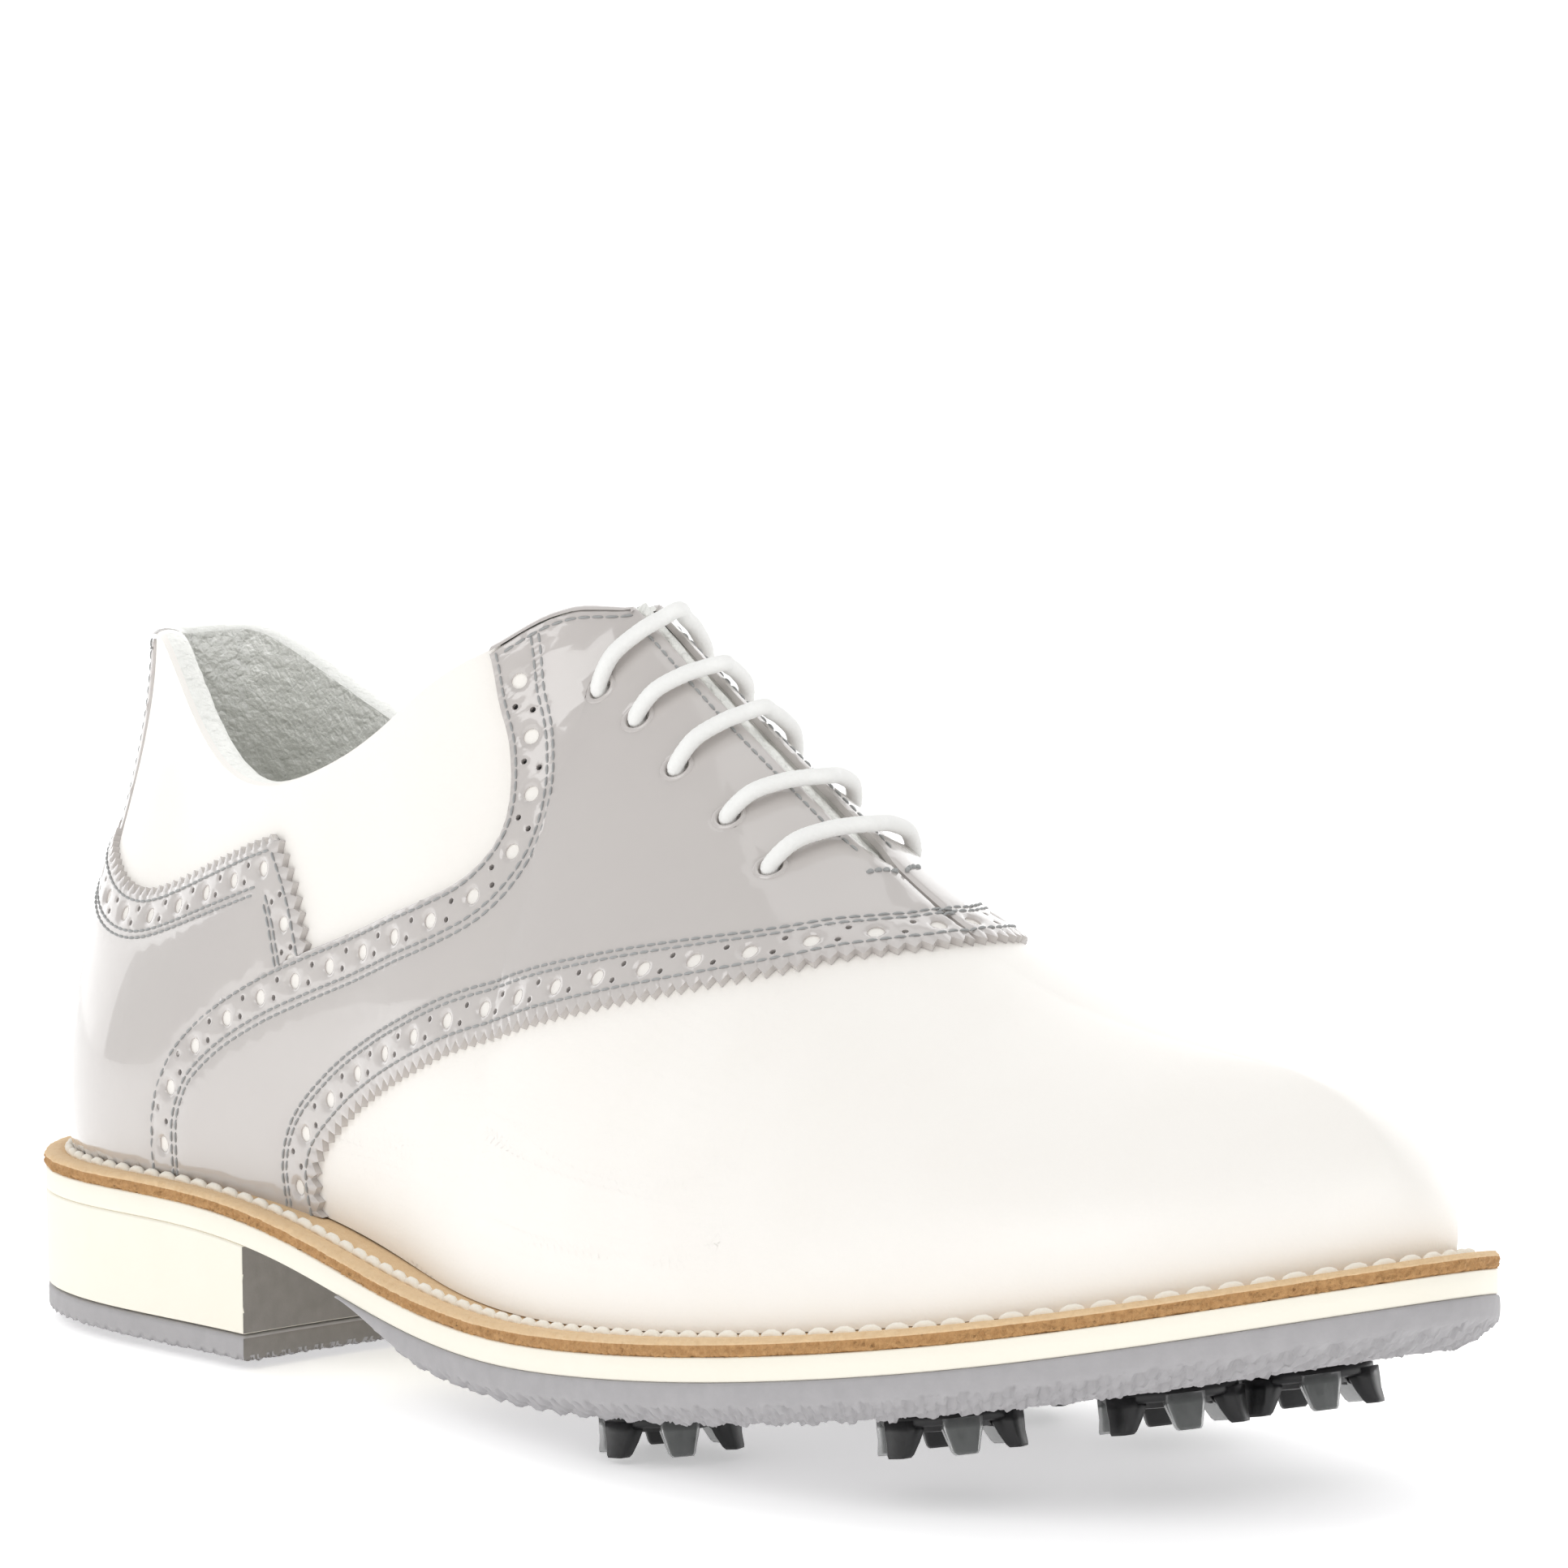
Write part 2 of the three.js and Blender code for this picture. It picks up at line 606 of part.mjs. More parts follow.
add("lace", tube(lacePoints, LACE_RADIUS, 6, 104, false), whiteCord);
const AGLET = 9;
function aglet(end, before) {
  const dir = end.clone().sub(before).normalize();
  const g = rod(LACE_RADIUS - 0.15, AGLET, 8);
  g.applyQuaternion(new THREE.Quaternion().setFromUnitVectors(new THREE.Vector3(0, 0, 1), dir));
  const mid = end.clone().addScaledVector(dir, AGLET / 2 + GAP);
  g.translate(mid.x, mid.y, mid.z);
  return solidOf(g);
}
const last = lacePoints.length - 1;
add("aglet_1", aglet(lacePoints[0], lacePoints[1]), clearPlastic);
add("aglet_2", aglet(lacePoints[last], lacePoints[last - 1]), clearPlastic);
EYELETS.forEach(([s, v], i) => {
  for (const side of [1, -1]) {
    const ring = solidOf(rod(EYELET_OUTER, EYELET_THICK, 8)).subtract(
      solidOf(rod(HOLE_RADIUS + EYELET_PLAY, EYELET_THICK * 3, 8)),
    );
    const g = alongNormal(geometryOf(ring), side * s, v, EYELET_TOP - EYELET_THICK / 2);
    add((side > 0 ? "eyelet_lateral_" : "eyelet_medial_") + (i + 1), solidOf(g), steel);
  }
});

// ---- bottom ----
const CORK_EDGE = -LEDGE - 3;
const weltHole = slab(CORK_EDGE, CORK_EDGE, over(WELT + 2), over(-2));
const weltRing = slab(-0.3, 0, over(WELT), over(0)).subtract(weltHole);
add("welt", weltRing, tanLeather);
const STITCH_RADIUS = 0.45;
function weltStitchPath() {
  const pts = [];
  for (let i = 0; i < 56; i++) {
    const p = edgePoint(i / 2, -2.1);
    pts.push(p.setZ(soleZ(p.x) + WELT + GAP + STITCH_RADIUS + 0.05));
  }
  return pts;
}
add("welt_stitching", tube(weltStitchPath(), STITCH_RADIUS, 4, 56, true), whiteCord);
const SHANK_FROM = 48;
const SHANK_TO = 158;
const SHANK_HALF = 7;
function shankPrism(grow, lift) {
  const points = [];
  for (let i = 0; i <= 10; i++) {
    const x = SHANK_FROM - grow + ((SHANK_TO - SHANK_FROM + 2 * grow) * i) / 10;
    points.push([x, soleZ(x) + 0.6 - lift]);
  }
  for (let i = 10; i >= 0; i--) {
    const x = SHANK_FROM - grow + ((SHANK_TO - SHANK_FROM + 2 * grow) * i) / 10;
    points.push([x, soleZ(x) + 2.1 + lift]);
  }
  return sidePrism(points, -SHANK_HALF - grow, SHANK_HALF + grow);
}
add("shank", shankPrism(0, 0), steel);
const corkInset = CORK_EDGE - GAP;
const corkSlab = slab(corkInset, corkInset, over(WELT), over(GAP)).subtract(shankPrism(GAP, 3));
add("cork_filler", corkSlab, cork);
add("insole_board", slab(INSIDE, INSIDE, over(FOOT + INSOLE), over(FOOT)), stiffener);
const SOCK_LOW = FOOT + INSOLE + GAP;
add("sock_liner", slab(INSIDE, INSIDE, over(SOCK_LOW + SOCK), over(SOCK_LOW)), liningLeather);
add("midsole", slab(0, 0, over(-GAP), over(MIDSOLE_BOTTOM)), creamEdge);

// ---- heel ----
const heelTop = (x) => soleZ(x) + OUTSOLE_TOP;
const breast = block(-20, HEEL_LENGTH);
const BREAST_HOLLOW = 3; // depth of the curve in the heel breast
function breastCutter() {
  const r = (33 ** 2 + BREAST_HOLLOW ** 2) / (2 * BREAST_HOLLOW);
  const g = new THREE.CylinderGeometry(r, r, 120, 72);
  g.rotateX(Math.PI / 2);
  g.translate(HEEL_LENGTH - BREAST_HOLLOW + r, 0, 0);
  return solidOf(g);
}
const hollow = breastCutter();
const NAILS = [[16, 0], [36, -15], [36, 15], [62, -15], [62, 15]];
const NAIL_RADIUS = 1.1;
const NAIL_LENGTH = 11;
let heelBlock = slab(0, -HEEL_TAPER, heelTop, () => LIFT_TOP + GAP).intersect(breast).subtract(hollow);
NAILS.forEach(([x, y], i) => {
  const top = heelTop(x) - 0.4;
  const pilot = disc(NAIL_RADIUS + GAP, top - NAIL_LENGTH - GAP, top + 6, 10).translate(x, y, 0);
  heelBlock = heelBlock.subtract(pilot);
  add("heel_nail_" + (i + 1), disc(NAIL_RADIUS, top - NAIL_LENGTH, top, 8).translate(x, y, 0), steel);
});
add("heel_block", heelBlock, creamEdge);
const liftEdge = -HEEL_TAPER;
let lift = slab(liftEdge, liftEdge - 0.4, () => LIFT_TOP, () => LIFT_BOTTOM)
  .intersect(breast)
  .subtract(hollow);
const LUG_ROWS = [
  [10, [-8, 8]], [24, [-20, -7, 7, 20]], [42, [-25, -9, 9, 25]], [58, [-25, -9, 9, 25]],
  [73, [-26, -13, 13, 26]],
];
for (const [x, row] of LUG_ROWS) {
  for (const y of row) lift = lift.add(disc(LUG_RADIUS, 0, LIFT_BOTTOM + 1, 5).translate(x, y, 0));
}
add("heel_top_lift", lift, greyRubber);

// ---- outsole and cleats ----
const CLEATS = [[184, -33], [237, -26], [255, -1], [259, 21], [190, 24], [222, 30]];
const SOCKET_RADIUS = STUD_RADIUS + GAP + SOCKET_WALL;
const SOCKET_HEIGHT = STUD_HEIGHT + GAP + SOCKET_ROOF;
const CLEAT_HEIGHT = 6.45;
const LEGS = 6;
// places a shape made about the tread face at a cleat's centre, square to the sole
function atCleat(g, x, y) {
  const slope = (soleZ(x + 4) - soleZ(x - 4)) / 8;
  g.rotateY(-Math.atan(slope));
  g.translate(x, y, soleZ(x) + TREAD_BOTTOM);
  return solidOf(g);
}
function cylinder(radius, z0, z1, sides) {
  const g = new THREE.CylinderGeometry(radius, radius, z1 - z0, sides);
  g.rotateX(Math.PI / 2);
  g.translate(0, 0, (z0 + z1) / 2);
  return g;
}
function cleatShape() {
  const plate = solidOf(cylinder(CLEAT_RADIUS - 1.2, -GAP - CLEAT_DISC, -GAP, 12));
  let s = plate.add(solidOf(cylinder(STUD_RADIUS, -GAP - 1, STUD_HEIGHT - GAP, 10)));
  for (let i = 0; i < LEGS; i++) {
    const g = new THREE.CylinderGeometry(2, 1.1, CLEAT_HEIGHT - GAP - 0.6, 4);
    g.rotateX(Math.PI / 2);
    g.rotateY(0.2);
    g.translate(LEG_REACH - 0.6, 0, -(CLEAT_HEIGHT + GAP + 0.6) / 2);
    g.rotateZ((2 * Math.PI * (i + 0.5)) / LEGS);
    s = s.add(solidOf(g));
  }
  return geometryOf(s);
}
function socketShape() {
  const cup = solidOf(cylinder(SOCKET_RADIUS, 0, SOCKET_HEIGHT, 12));
  return geometryOf(cup.subtract(solidOf(cylinder(STUD_RADIUS + GAP, -2, STUD_HEIGHT + GAP, 10))));
}
let outsole = slab(0, 0, over(OUTSOLE_TOP), over(WALL_BOTTOM)).add(
  slab(-0.8, -7, over(WALL_BOTTOM + 0.4), over(TREAD_BOTTOM)),
).intersect(block(OUTSOLE_BACK, AHEAD));
CLEATS.forEach(([x, y], i) => {
  outsole = outsole.subtract(atCleat(cylinder(SOCKET_RADIUS + GAP, -4, SOCKET_HEIGHT + GAP, 12), x, y));
  add("cleat_socket_" + (i + 1), atCleat(socketShape(), x, y), blackPlastic);
  add("cleat_" + (i + 1), atCleat(cleatShape(), x, y), blackPlastic);
});
add("outsole", outsole, greyRubber);

// ---- the group, box centred over the origin ----
const root = new THREE.Group();
const box = new THREE.Box3();
for (const [name, [solid, finish]] of parts) {
  const mesh = new THREE.Mesh(geometryOf(solid), new THREE.MeshStandardMaterial(finish));
  mesh.name = name;
  root.add(mesh);
  box.expandByObject(mesh);
}
const centre = box.getCenter(new THREE.Vector3());
for (const mesh of root.children) mesh.geometry.translate(-centre.x, -centre.y, -box.min.z);

export default root;
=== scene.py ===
import math

import bpy
import numpy as np
from mathutils import Matrix, Vector
from mathutils.geometry import delaunay_2d_cdt


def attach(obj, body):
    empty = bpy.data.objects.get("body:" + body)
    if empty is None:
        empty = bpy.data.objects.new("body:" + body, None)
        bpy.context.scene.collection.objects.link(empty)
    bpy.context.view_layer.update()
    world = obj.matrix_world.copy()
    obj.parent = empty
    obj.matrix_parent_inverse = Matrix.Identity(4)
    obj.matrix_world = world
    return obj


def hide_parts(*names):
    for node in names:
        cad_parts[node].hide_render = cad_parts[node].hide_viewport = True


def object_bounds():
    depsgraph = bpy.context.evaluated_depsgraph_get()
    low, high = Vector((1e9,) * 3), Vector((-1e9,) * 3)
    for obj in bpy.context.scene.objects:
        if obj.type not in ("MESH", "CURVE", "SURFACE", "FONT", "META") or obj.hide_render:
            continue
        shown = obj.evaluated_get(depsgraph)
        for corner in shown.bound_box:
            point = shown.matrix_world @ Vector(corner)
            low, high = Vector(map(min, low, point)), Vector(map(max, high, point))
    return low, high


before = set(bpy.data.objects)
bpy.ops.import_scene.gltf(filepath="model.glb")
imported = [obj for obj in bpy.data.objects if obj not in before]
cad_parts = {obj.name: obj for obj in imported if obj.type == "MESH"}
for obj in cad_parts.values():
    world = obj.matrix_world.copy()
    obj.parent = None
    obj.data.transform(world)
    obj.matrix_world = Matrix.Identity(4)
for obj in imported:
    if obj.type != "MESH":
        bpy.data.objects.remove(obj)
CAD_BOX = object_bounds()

# A right golf shoe. Shapes are worked out in millimetres with the back of the heel at x = 0,
# and moved into the frame, in metres, when a mesh is made.
MM = 0.001
LOW = np.array(CAD_BOX[0])
HIGH = np.array(CAD_BOX[1])
EDGE_MEDIAL = 50.5  # reach of the sole on the medial side
SHIFT = np.array([LOW[0] / MM, HIGH[1] / MM - EDGE_MEDIAL, 0.0])

# ---- camera: a long lens from in front and to the lateral side ----
CAMERA_LENS = 188.0
CAMERA_AT = (1085.54, -763.0, 200.7)
CAMERA_BACK = (0.76475, -0.63808, 0.0895)
CAMERA_UP = (-0.06451, 0.06238, 0.99597)


def make_camera():
    data = bpy.data.cameras.new("camera")
    data.lens = CAMERA_LENS
    data.sensor_width = 36.0
    data.clip_start = 0.05
    cam = bpy.data.objects.new("camera", data)
    back = Vector(CAMERA_BACK).normalized()
    right = Vector(CAMERA_UP).cross(back).normalized()
    up = back.cross(right)
    turn = Matrix((right, up, back)).transposed().to_4x4()
    place = Matrix.Translation(Vector((np.array(CAMERA_AT) + SHIFT) * MM))
    cam.matrix_world = place @ turn
    bpy.context.scene.collection.objects.link(cam)
    bpy.context.scene.camera = cam


make_camera()

# ---- sizes shared with the solids ----
GAP = 0.35  # clearance between neighbouring parts
WELT = 2.6
LEDGE = 7.0  # the upper stands this far inside the edge of the sole
LEATHER = 1.2
OVERLAY_LOW = LEATHER + 0.02
OVERLAY_TOP = 2.75
LINING_TOP = -1.8
LINING_BASE = -2.9
LACE_RADIUS = 1.25
LACE_OVER = OVERLAY_TOP + 0.1 + LACE_RADIUS
LACE_UNDER = -6.05
TONGUE_TOP = -7.65
BREAST = 83.0  # where the heel block ends
SIDES = {"lateral": 1, "medial": -1}

EDGE = [
    (0, 0), (5, -14), (18, -26), (40, -33), (75, -34), (105, -37), (135, -42.5),
    (165, -49), (190, -53), (215, -55), (240, -52), (265, -43), (285, -29), (298, -12),
    (303, 5), (298, 20), (285, 32), (265, 42), (240, 48.5), (215, 50.5), (190, 47.5),
    (165, 41), (135, 33), (105, 30), (75, 32), (40, 33), (18, 26), (5, 14),
]
PROFILE = [
    (-6, 24), (18, 24.2), (42, 24.4), (66, 24.4), (90, 22.4), (114, 18.6), (138, 15.9),
    (162, 15.6), (186, 17.2), (210, 19.6), (234, 22.5), (258, 26), (282, 30.6), (309, 37),
]
RIB_EDGE = [0, 1, 2, 2.9, 3.6, 4.17, 4.93, 5.6, 6.27, 7, 8, 9, 9.93, 10.9, 12.2, 14]
RIM_LATERAL = [
    (13.5, 4.5, 107.6), (17, -0.8, 107.9), (27.5, -6.5, 107.2), (45, -13, 95.5),
    (63, -19.5, 89.3), (80, -22.5, 89), (101, -22, 97.1), (121, -19, 110.6), (138.5, 0, 118),
]
RIM_MEDIAL = [
    (13.5, 4.5, 107.6), (16, 10, 107.9), (23, 17, 107.8), (42, 20.5, 99),
    (62, 22.5, 91), (80, 23, 90), (101, 22, 97.5), (119, 19, 107.5), (138.5, 0, 118),
]
RIDGE = [
    (138.5, 0, 118), (157.5, 0, 104.5), (178, 0.5, 91.2), (197, 1, 79), (213.5, 1.5, 71),
    (230.5, 2, 65.2), (249, 3, 62), (267, 4, 60.2),
]
RISE = [28, 28, 27, 25, 23, 23, 25, 28, 30, 27, 24, 22, 20, 18, 17, 17]
BULGE = [6, 5.5, 5, 4.5, 4, 3.5, 3, 3, 3, 3, 3, 3, 3.5, 4, 4, 4]
REACH = [0, 0, 0, 0, 0, 0, 0, 2, 9, 12, 14, 16, 17, 16, 13, 13]
DROP = [26, 26, 25, 22, 19, 18, 20, 24, 7, 5, 3, 1, 0, 0, 0, 0]

WAIST_TUCK = 3.2  # the upper draws in over the welt at the lateral waist
FACING_DOME = 2.2  # the top edge of the facings is rounded up between its ends
STEP = 0.02  # knot step of the fine tables


def catmull(points, t, closed):
    points = np.asarray(points, float)
    count = len(points)
    i = np.floor(t).astype(int)
    if closed:
        i %= count
        f = t - np.floor(t)
        a, b, c, d = (points[(i + k) % count] for k in (-1, 0, 1, 2))
    else:
        i = np.clip(i, 0, count - 2)
        f = t - i
        grown = np.concatenate([[2 * points[0] - points[1]], points, [2 * points[-1] - points[-2]]])
        a, b, c, d = (grown[i + k] for k in (0, 1, 2, 3))
    if points.ndim > 1:
        f = f[:, None]
    m = (c - a) / 2
    n = (d - b) / 2
    return (
        b * (2 * f**3 - 3 * f**2 + 1) + m * (f**3 - 2 * f**2 + f)
        + c * (-2 * f**3 + 3 * f**2) + n * (f**3 - f**2)
    )

def smoothstep(a, b, x):
    t = np.clip((x - a) / (b - a), 0, 1)
    return t * t * (3 - 2 * t)


def unit(vectors):
    """Vectors scaled to length one."""
    return vectors / np.maximum(np.linalg.norm(vectors, axis=-1, keepdims=True), 1e-9)


def arc_of(points):
    """Distance along a row of points, from its start."""
    return np.concatenate([[0], np.cumsum(np.linalg.norm(np.diff(points, axis=0), axis=1))])


def pick(at, along, rows):
    """Rows of values found at places between them."""
    return np.stack([np.interp(at, along, column) for column in rows.T], -1)

class Table:
    """A list of knots turned into a fine, gently smoothed curve."""

    def __init__(self, points, closed=False, soften=0.35):
        count = len(points)
        self.closed = closed
        self.t = np.arange(0, count if closed else count - 1 + STEP / 2, STEP)
        values = catmull(points, self.t, closed)
        values = values if values.ndim > 1 else values[:, None]
        if soften:
            width = int(4 * soften / STEP)
            k = np.exp(-0.5 * (np.arange(-width, width + 1) * STEP / soften) ** 2)
            k /= k.sum()
            if closed:
                padded = np.concatenate([values[-width:], values, values[:width]])
            else:
                head = 2 * values[0] - values[width:0:-1]
                tail = 2 * values[-1] - values[-2 : -width - 2 : -1]
                padded = np.concatenate([head, values, tail])
            columns = [np.convolve(padded[:, c], k, "valid") for c in range(values.shape[1])]
            values = np.stack(columns, 1)
        self.values = values

    def __call__(self, t):
        t = np.asarray(t, float)
        n = len(self.values)
        if self.closed:
            g = np.mod(t / STEP, n)
            i = np.floor(g).astype(int) % n
            j = (i + 1) % n
        else:
            g = t / STEP
            i = np.clip(np.floor(g).astype(int), 0, n - 2)
            j = i + 1
        f = (g - np.floor(g) if self.closed else g - i)[..., None]
        return self.values[i] * (1 - f) + self.values[j] * f


edge_table = Table(EDGE, closed=True, soften=0.3)
profile_table = Table(PROFILE, soften=0.4)
rib_edge_table = Table(RIB_EDGE)
rim_table = Table(RIM_MEDIAL[:0:-1] + RIM_LATERAL, soften=0.25)
ridge_table = Table(RIDGE, soften=0.3)
handle_table = Table(np.stack([RISE, BULGE, REACH, DROP], 1), soften=0.4)


def sole_z(x):
    return np.interp(x, profile_table.values[:, 0], profile_table.values[:, 1])


def edge(u, out=0.0):
    """Point of the sole edge moved out, and its outward direction; u counts the knots."""
    u = np.asarray(u, float)
    along = unit(edge_table(u + 0.04) - edge_table(u - 0.04))
    normal = np.stack([along[..., 1], -along[..., 0]], -1)
    return edge_table(u) + normal * np.asarray(out)[..., None], normal

def last(s, v, ridge=None):
    """Point of the last. s is 0 behind the heel, 15 at the toe, negative on the medial side."""
    s, v = np.broadcast_arrays(np.asarray(s, float), np.asarray(v, float))
    k = np.abs(s)
    side = np.where(s < 0, -1.0, 1.0)
    if ridge is None:
        ridge = k >= 8
    waist = np.where(s > 0, WAIST_TUCK * np.exp(-(((k - 6.1) / 1.5) ** 2)), 0)
    foot2, out2 = edge(side * rib_edge_table(k)[..., 0], -LEDGE - waist)
    foot = np.concatenate([foot2, sole_z(foot2[..., :1]) + WELT + GAP], -1)
    out = np.concatenate([out2, np.zeros(s.shape + (1,))], -1)
    top = np.where(ridge[..., None], ridge_table(k - 8), rim_table(s + 8))
    rise, bulge, reach, drop = np.moveaxis(handle_table(k), -1, 0)
    low = foot + out * bulge[..., None]
    low[..., 2] += rise
    high = top + out * reach[..., None]
    high[..., 2] -= drop
    w = v[..., None]
    p = (1 - w) ** 3 * foot + 3 * (1 - w) ** 2 * w * low + 3 * (1 - w) * w**2 * high + w**3 * top
    dome = smoothstep(7.1, 7.55, k) * (1 - smoothstep(7.6, 8.0, k)) * np.where(ridge, 0.0, 1.0)
    p[..., 2] += FACING_DOME * dome * v**3
    return p


def frame_at(s, v):
    """Position, the two surface directions and the outward normal of the last."""
    s, v = np.broadcast_arrays(np.asarray(s, float), np.asarray(v, float))
    ridge = np.abs(s) >= 8
    e = 0.02
    along = (last(s + e, v, ridge) - last(s - e, v, ridge)) / (2 * e)
    up = (last(s, v + e, ridge) - last(s, v - e, ridge)) / (2 * e)
    return last(s, v, ridge), along, up, unit(np.cross(along, up))


def on_last(s, v, d):
    """Point lifted off the last by d, and the normal, which both sides share at the ridge."""
    s, v = np.broadcast_arrays(np.asarray(s, float), np.asarray(v, float))
    p, _, _, n = frame_at(s, v)
    share = (smoothstep(0.8, 1.0, v) * smoothstep(7.8, 8.1, np.abs(s)))[..., None]
    both = unit(frame_at(s, 0.995)[3] + frame_at(-s, 0.995)[3])
    n = unit(n * (1 - share) + both * share)
    return p + n * np.asarray(d)[..., None], n


# ---- meshes ----
def make_mesh(name, points, faces):
    mesh = bpy.data.meshes.new(name)
    mesh.from_pydata(((np.asarray(points) + SHIFT) * MM).tolist(), [], faces)
    mesh.update()
    mesh.polygons.foreach_set("use_smooth", [True] * len(mesh.polygons))
    obj = bpy.data.objects.new(name, mesh)
    bpy.context.scene.collection.objects.link(obj)
    return obj


def grid_faces(rows, columns, closed=False):
    """Quads between rows of points; closed joins the last column to the first."""
    faces = []
    for r in range(rows - 1):
        for c in range(columns if closed else columns - 1):
            a, b = r * columns + c, r * columns + (c + 1) % columns
            faces.append((a, b, b + columns, a + columns))
    return faces


def tube_faces(rings, sides):
    start, end = range(sides), range((rings - 1) * sides, rings * sides)
    return grid_faces(rings, sides, True) + [tuple(start)[::-1], tuple(end)]


def border_of(index):
    """Point numbers round the edge of a grid of them."""
    return np.concatenate([index[0], index[1:, -1], index[-1, -2::-1], index[-2:0:-1, 0]])


def loft(name, rings):
    """Closed rings of points joined in order."""
    return make_mesh(name, np.concatenate(rings), grid_faces(len(rings), len(rings[0]), True))


class Pile:
    """Vertices and faces gathered into one mesh."""

    def __init__(self):
        self.points = []
        self.faces = []
        self.count = 0

    def add(self, points, faces):
        self.points.append(np.asarray(points))
        self.faces += [tuple(i + self.count for i in f) for f in faces]
        self.count += len(points)

    def make(self, name):
        return make_mesh(name, np.concatenate(self.points), self.faces)


# ---- lines drawn on the leather ----
def param_step(along, up, vector):
    """The (s, v) step that moves a point of the last by a vector lying in its surface."""
    aa = (along * along).sum(-1)
    au = (along * up).sum(-1)
    uu = (up * up).sum(-1)
    a = (along * vector).sum(-1)
    u = (up * vector).sum(-1)
    det = np.maximum(aa * uu - au * au, 1e-9)
    return np.stack([(uu * a - au * u) / det, (aa * u - au * a) / det], -1)


class Line:
    """A line on the last through (s, v) knots, measured along in millimetres."""

    def __init__(self, knots, steps=50):
        """Curved through the knots in many steps, or straight between them in one or two."""
        knots = np.asarray(knots, float)
        t = np.linspace(0, len(knots) - 1, steps * (len(knots) - 1) + 1)
        curved = steps > 2
        self.sv = catmull(knots, t, False) if curved else pick(t, np.arange(len(knots)), knots)
        self.xyz = last(*self.sv.T)
        self.arc = arc_of(self.xyz)
        self.length = self.arc[-1]

    def at(self, a):
        return pick(a, self.arc, self.sv)

    def xyz_at(self, a):
        return pick(a, self.arc, self.xyz)

    def aside(self, a, d):
        """(s, v) of points d to the left of the line, seen from outside the shoe."""
        a = np.asarray(a, float)
        sv = self.at(a)
        tangent = unit(self.xyz_at(a + 0.5) - self.xyz_at(a - 0.5))
        _, along, up, n = frame_at(sv[..., 0], sv[..., 1])
        return sv + param_step(along, up, np.cross(n, tangent) * np.asarray(d, float)[..., None])

    def part(self, start, end):
        """The stretch of the line between two distances, the second counted from its far end."""
        return Line(self.at(np.linspace(start, self.length - end, max(8, int(self.length)))), 2)

    def beside(self, d):
        """The line moved to the left by d."""
        return Line(self.aside(np.linspace(0, self.length, max(8, int(self.length / 2))), d), 1)


def ring_on_last(sv, radius, count):
    """(s, v) of a circle drawn on the last around a point."""
    _, along, up, n = frame_at(np.full(count, sv[0]), sv[1])
    a = unit(along)
    angle = np.linspace(0, 2 * math.pi, count, endpoint=False)[:, None]
    vector = radius * (a * np.cos(angle) + np.cross(n, a) * np.sin(angle))
    return np.asarray(sv) + param_step(along, up, vector)


def inside(points, loop):
    """Which plane points lie inside a closed loop."""
    x, y = points[:, 0], points[:, 1]
    hit = np.zeros(len(points), bool)
    for (x0, y0), (x1, y1) in zip(loop, np.roll(loop, -1, axis=0)):
        if y0 == y1:
            continue
        crossing = (y0 > y) != (y1 > y)
        hit ^= crossing & (x < (x1 - x0) * (y - y0) / (y1 - y0) + x0)
    return hit


def near(points, others, reach):
    """Distance from each point to the nearest of the others, cut off at reach."""
    out = np.full(len(points), float(reach))
    if not len(others):
        return out
    cell = {}
    keys = np.floor(others / reach).astype(int)
    for i, key in enumerate(map(tuple, keys)):
        cell.setdefault(key, []).append(i)
    for j, p in enumerate(points):
        base = np.floor(p / reach).astype(int)
        found = []
        for dx in (-1, 0, 1):
            for dy in (-1, 0, 1):
                for dz in (-1, 0, 1):
                    found += cell.get((base[0] + dx, base[1] + dy, base[2] + dz), ())
        if found:
            out[j] = min(reach, np.linalg.norm(others[found] - p, axis=1).min())
    return out


# ---- thread ----
THREAD_RADIUS = 0.2
SEAM_DIP = 0.2
STITCH_SHAPE = [  # share of the length, girth and lift, both in thread radii
    (0.0, 0.35, -0.5), (0.12, 0.85, -0.1), (0.35, 1, 0.25),
    (0.65, 1, 0.25), (0.88, 0.85, -0.1), (1.0, 0.35, -0.5),
]
thread = Pile()
underlay = Pile()
pinhole_shade = Pile()


def add_stitches(pile, starts, ends, normals, radius, sides=6):
    """One plump stitch from each start to each end, sunk at both ends."""
    faces = tube_faces(len(STITCH_SHAPE), sides)
    for a, b, n in zip(starts, ends, normals):
        t = b - a
        side = unit(np.cross(n, t))
        rings = []
        for f, girth, lift in STITCH_SHAPE:
            middle = a + t * f + n * lift * radius
            for i in range(sides):
                w = 2 * math.pi * i / sides
                rings.append(middle + radius * girth * (side * math.cos(w) + n * math.sin(w)))
        pile.add(rings, faces)


def sew(seam, height, pitch=1.9, gap=0.3, radius=THREAD_RADIUS):
    """A row of stitches along a line, lying on the leather at a height above the last."""
    count = max(2, int(seam.length / pitch))
    pitch = seam.length / count
    a = np.arange(count) * pitch + gap / 2
    starts, normals = on_last(*seam.at(a).T, height)
    ends, _ = on_last(*seam.at(a + pitch - gap).T, height)
    add_stitches(thread, starts, ends, normals, radius)


# ---- cut leather ----
PLANE = np.array([14.0, 76.0])  # pattern plane, millimetres for one unit of s and of v
GRID = 2.2
HOLE_SIDES = 16
PINHOLE_SIDES = 8
EDGE_ROUND = 0.45


def in_leather(points, loops):
    """Which plane points lie inside the outline, the first loop, and outside the holes."""
    kept = inside(points, loops[0])
    for loop in loops[1:]:
        close = np.abs(points - loop.mean(0)).max(1) < 8
        kept[close] &= ~inside(points[close], loop)
    return kept


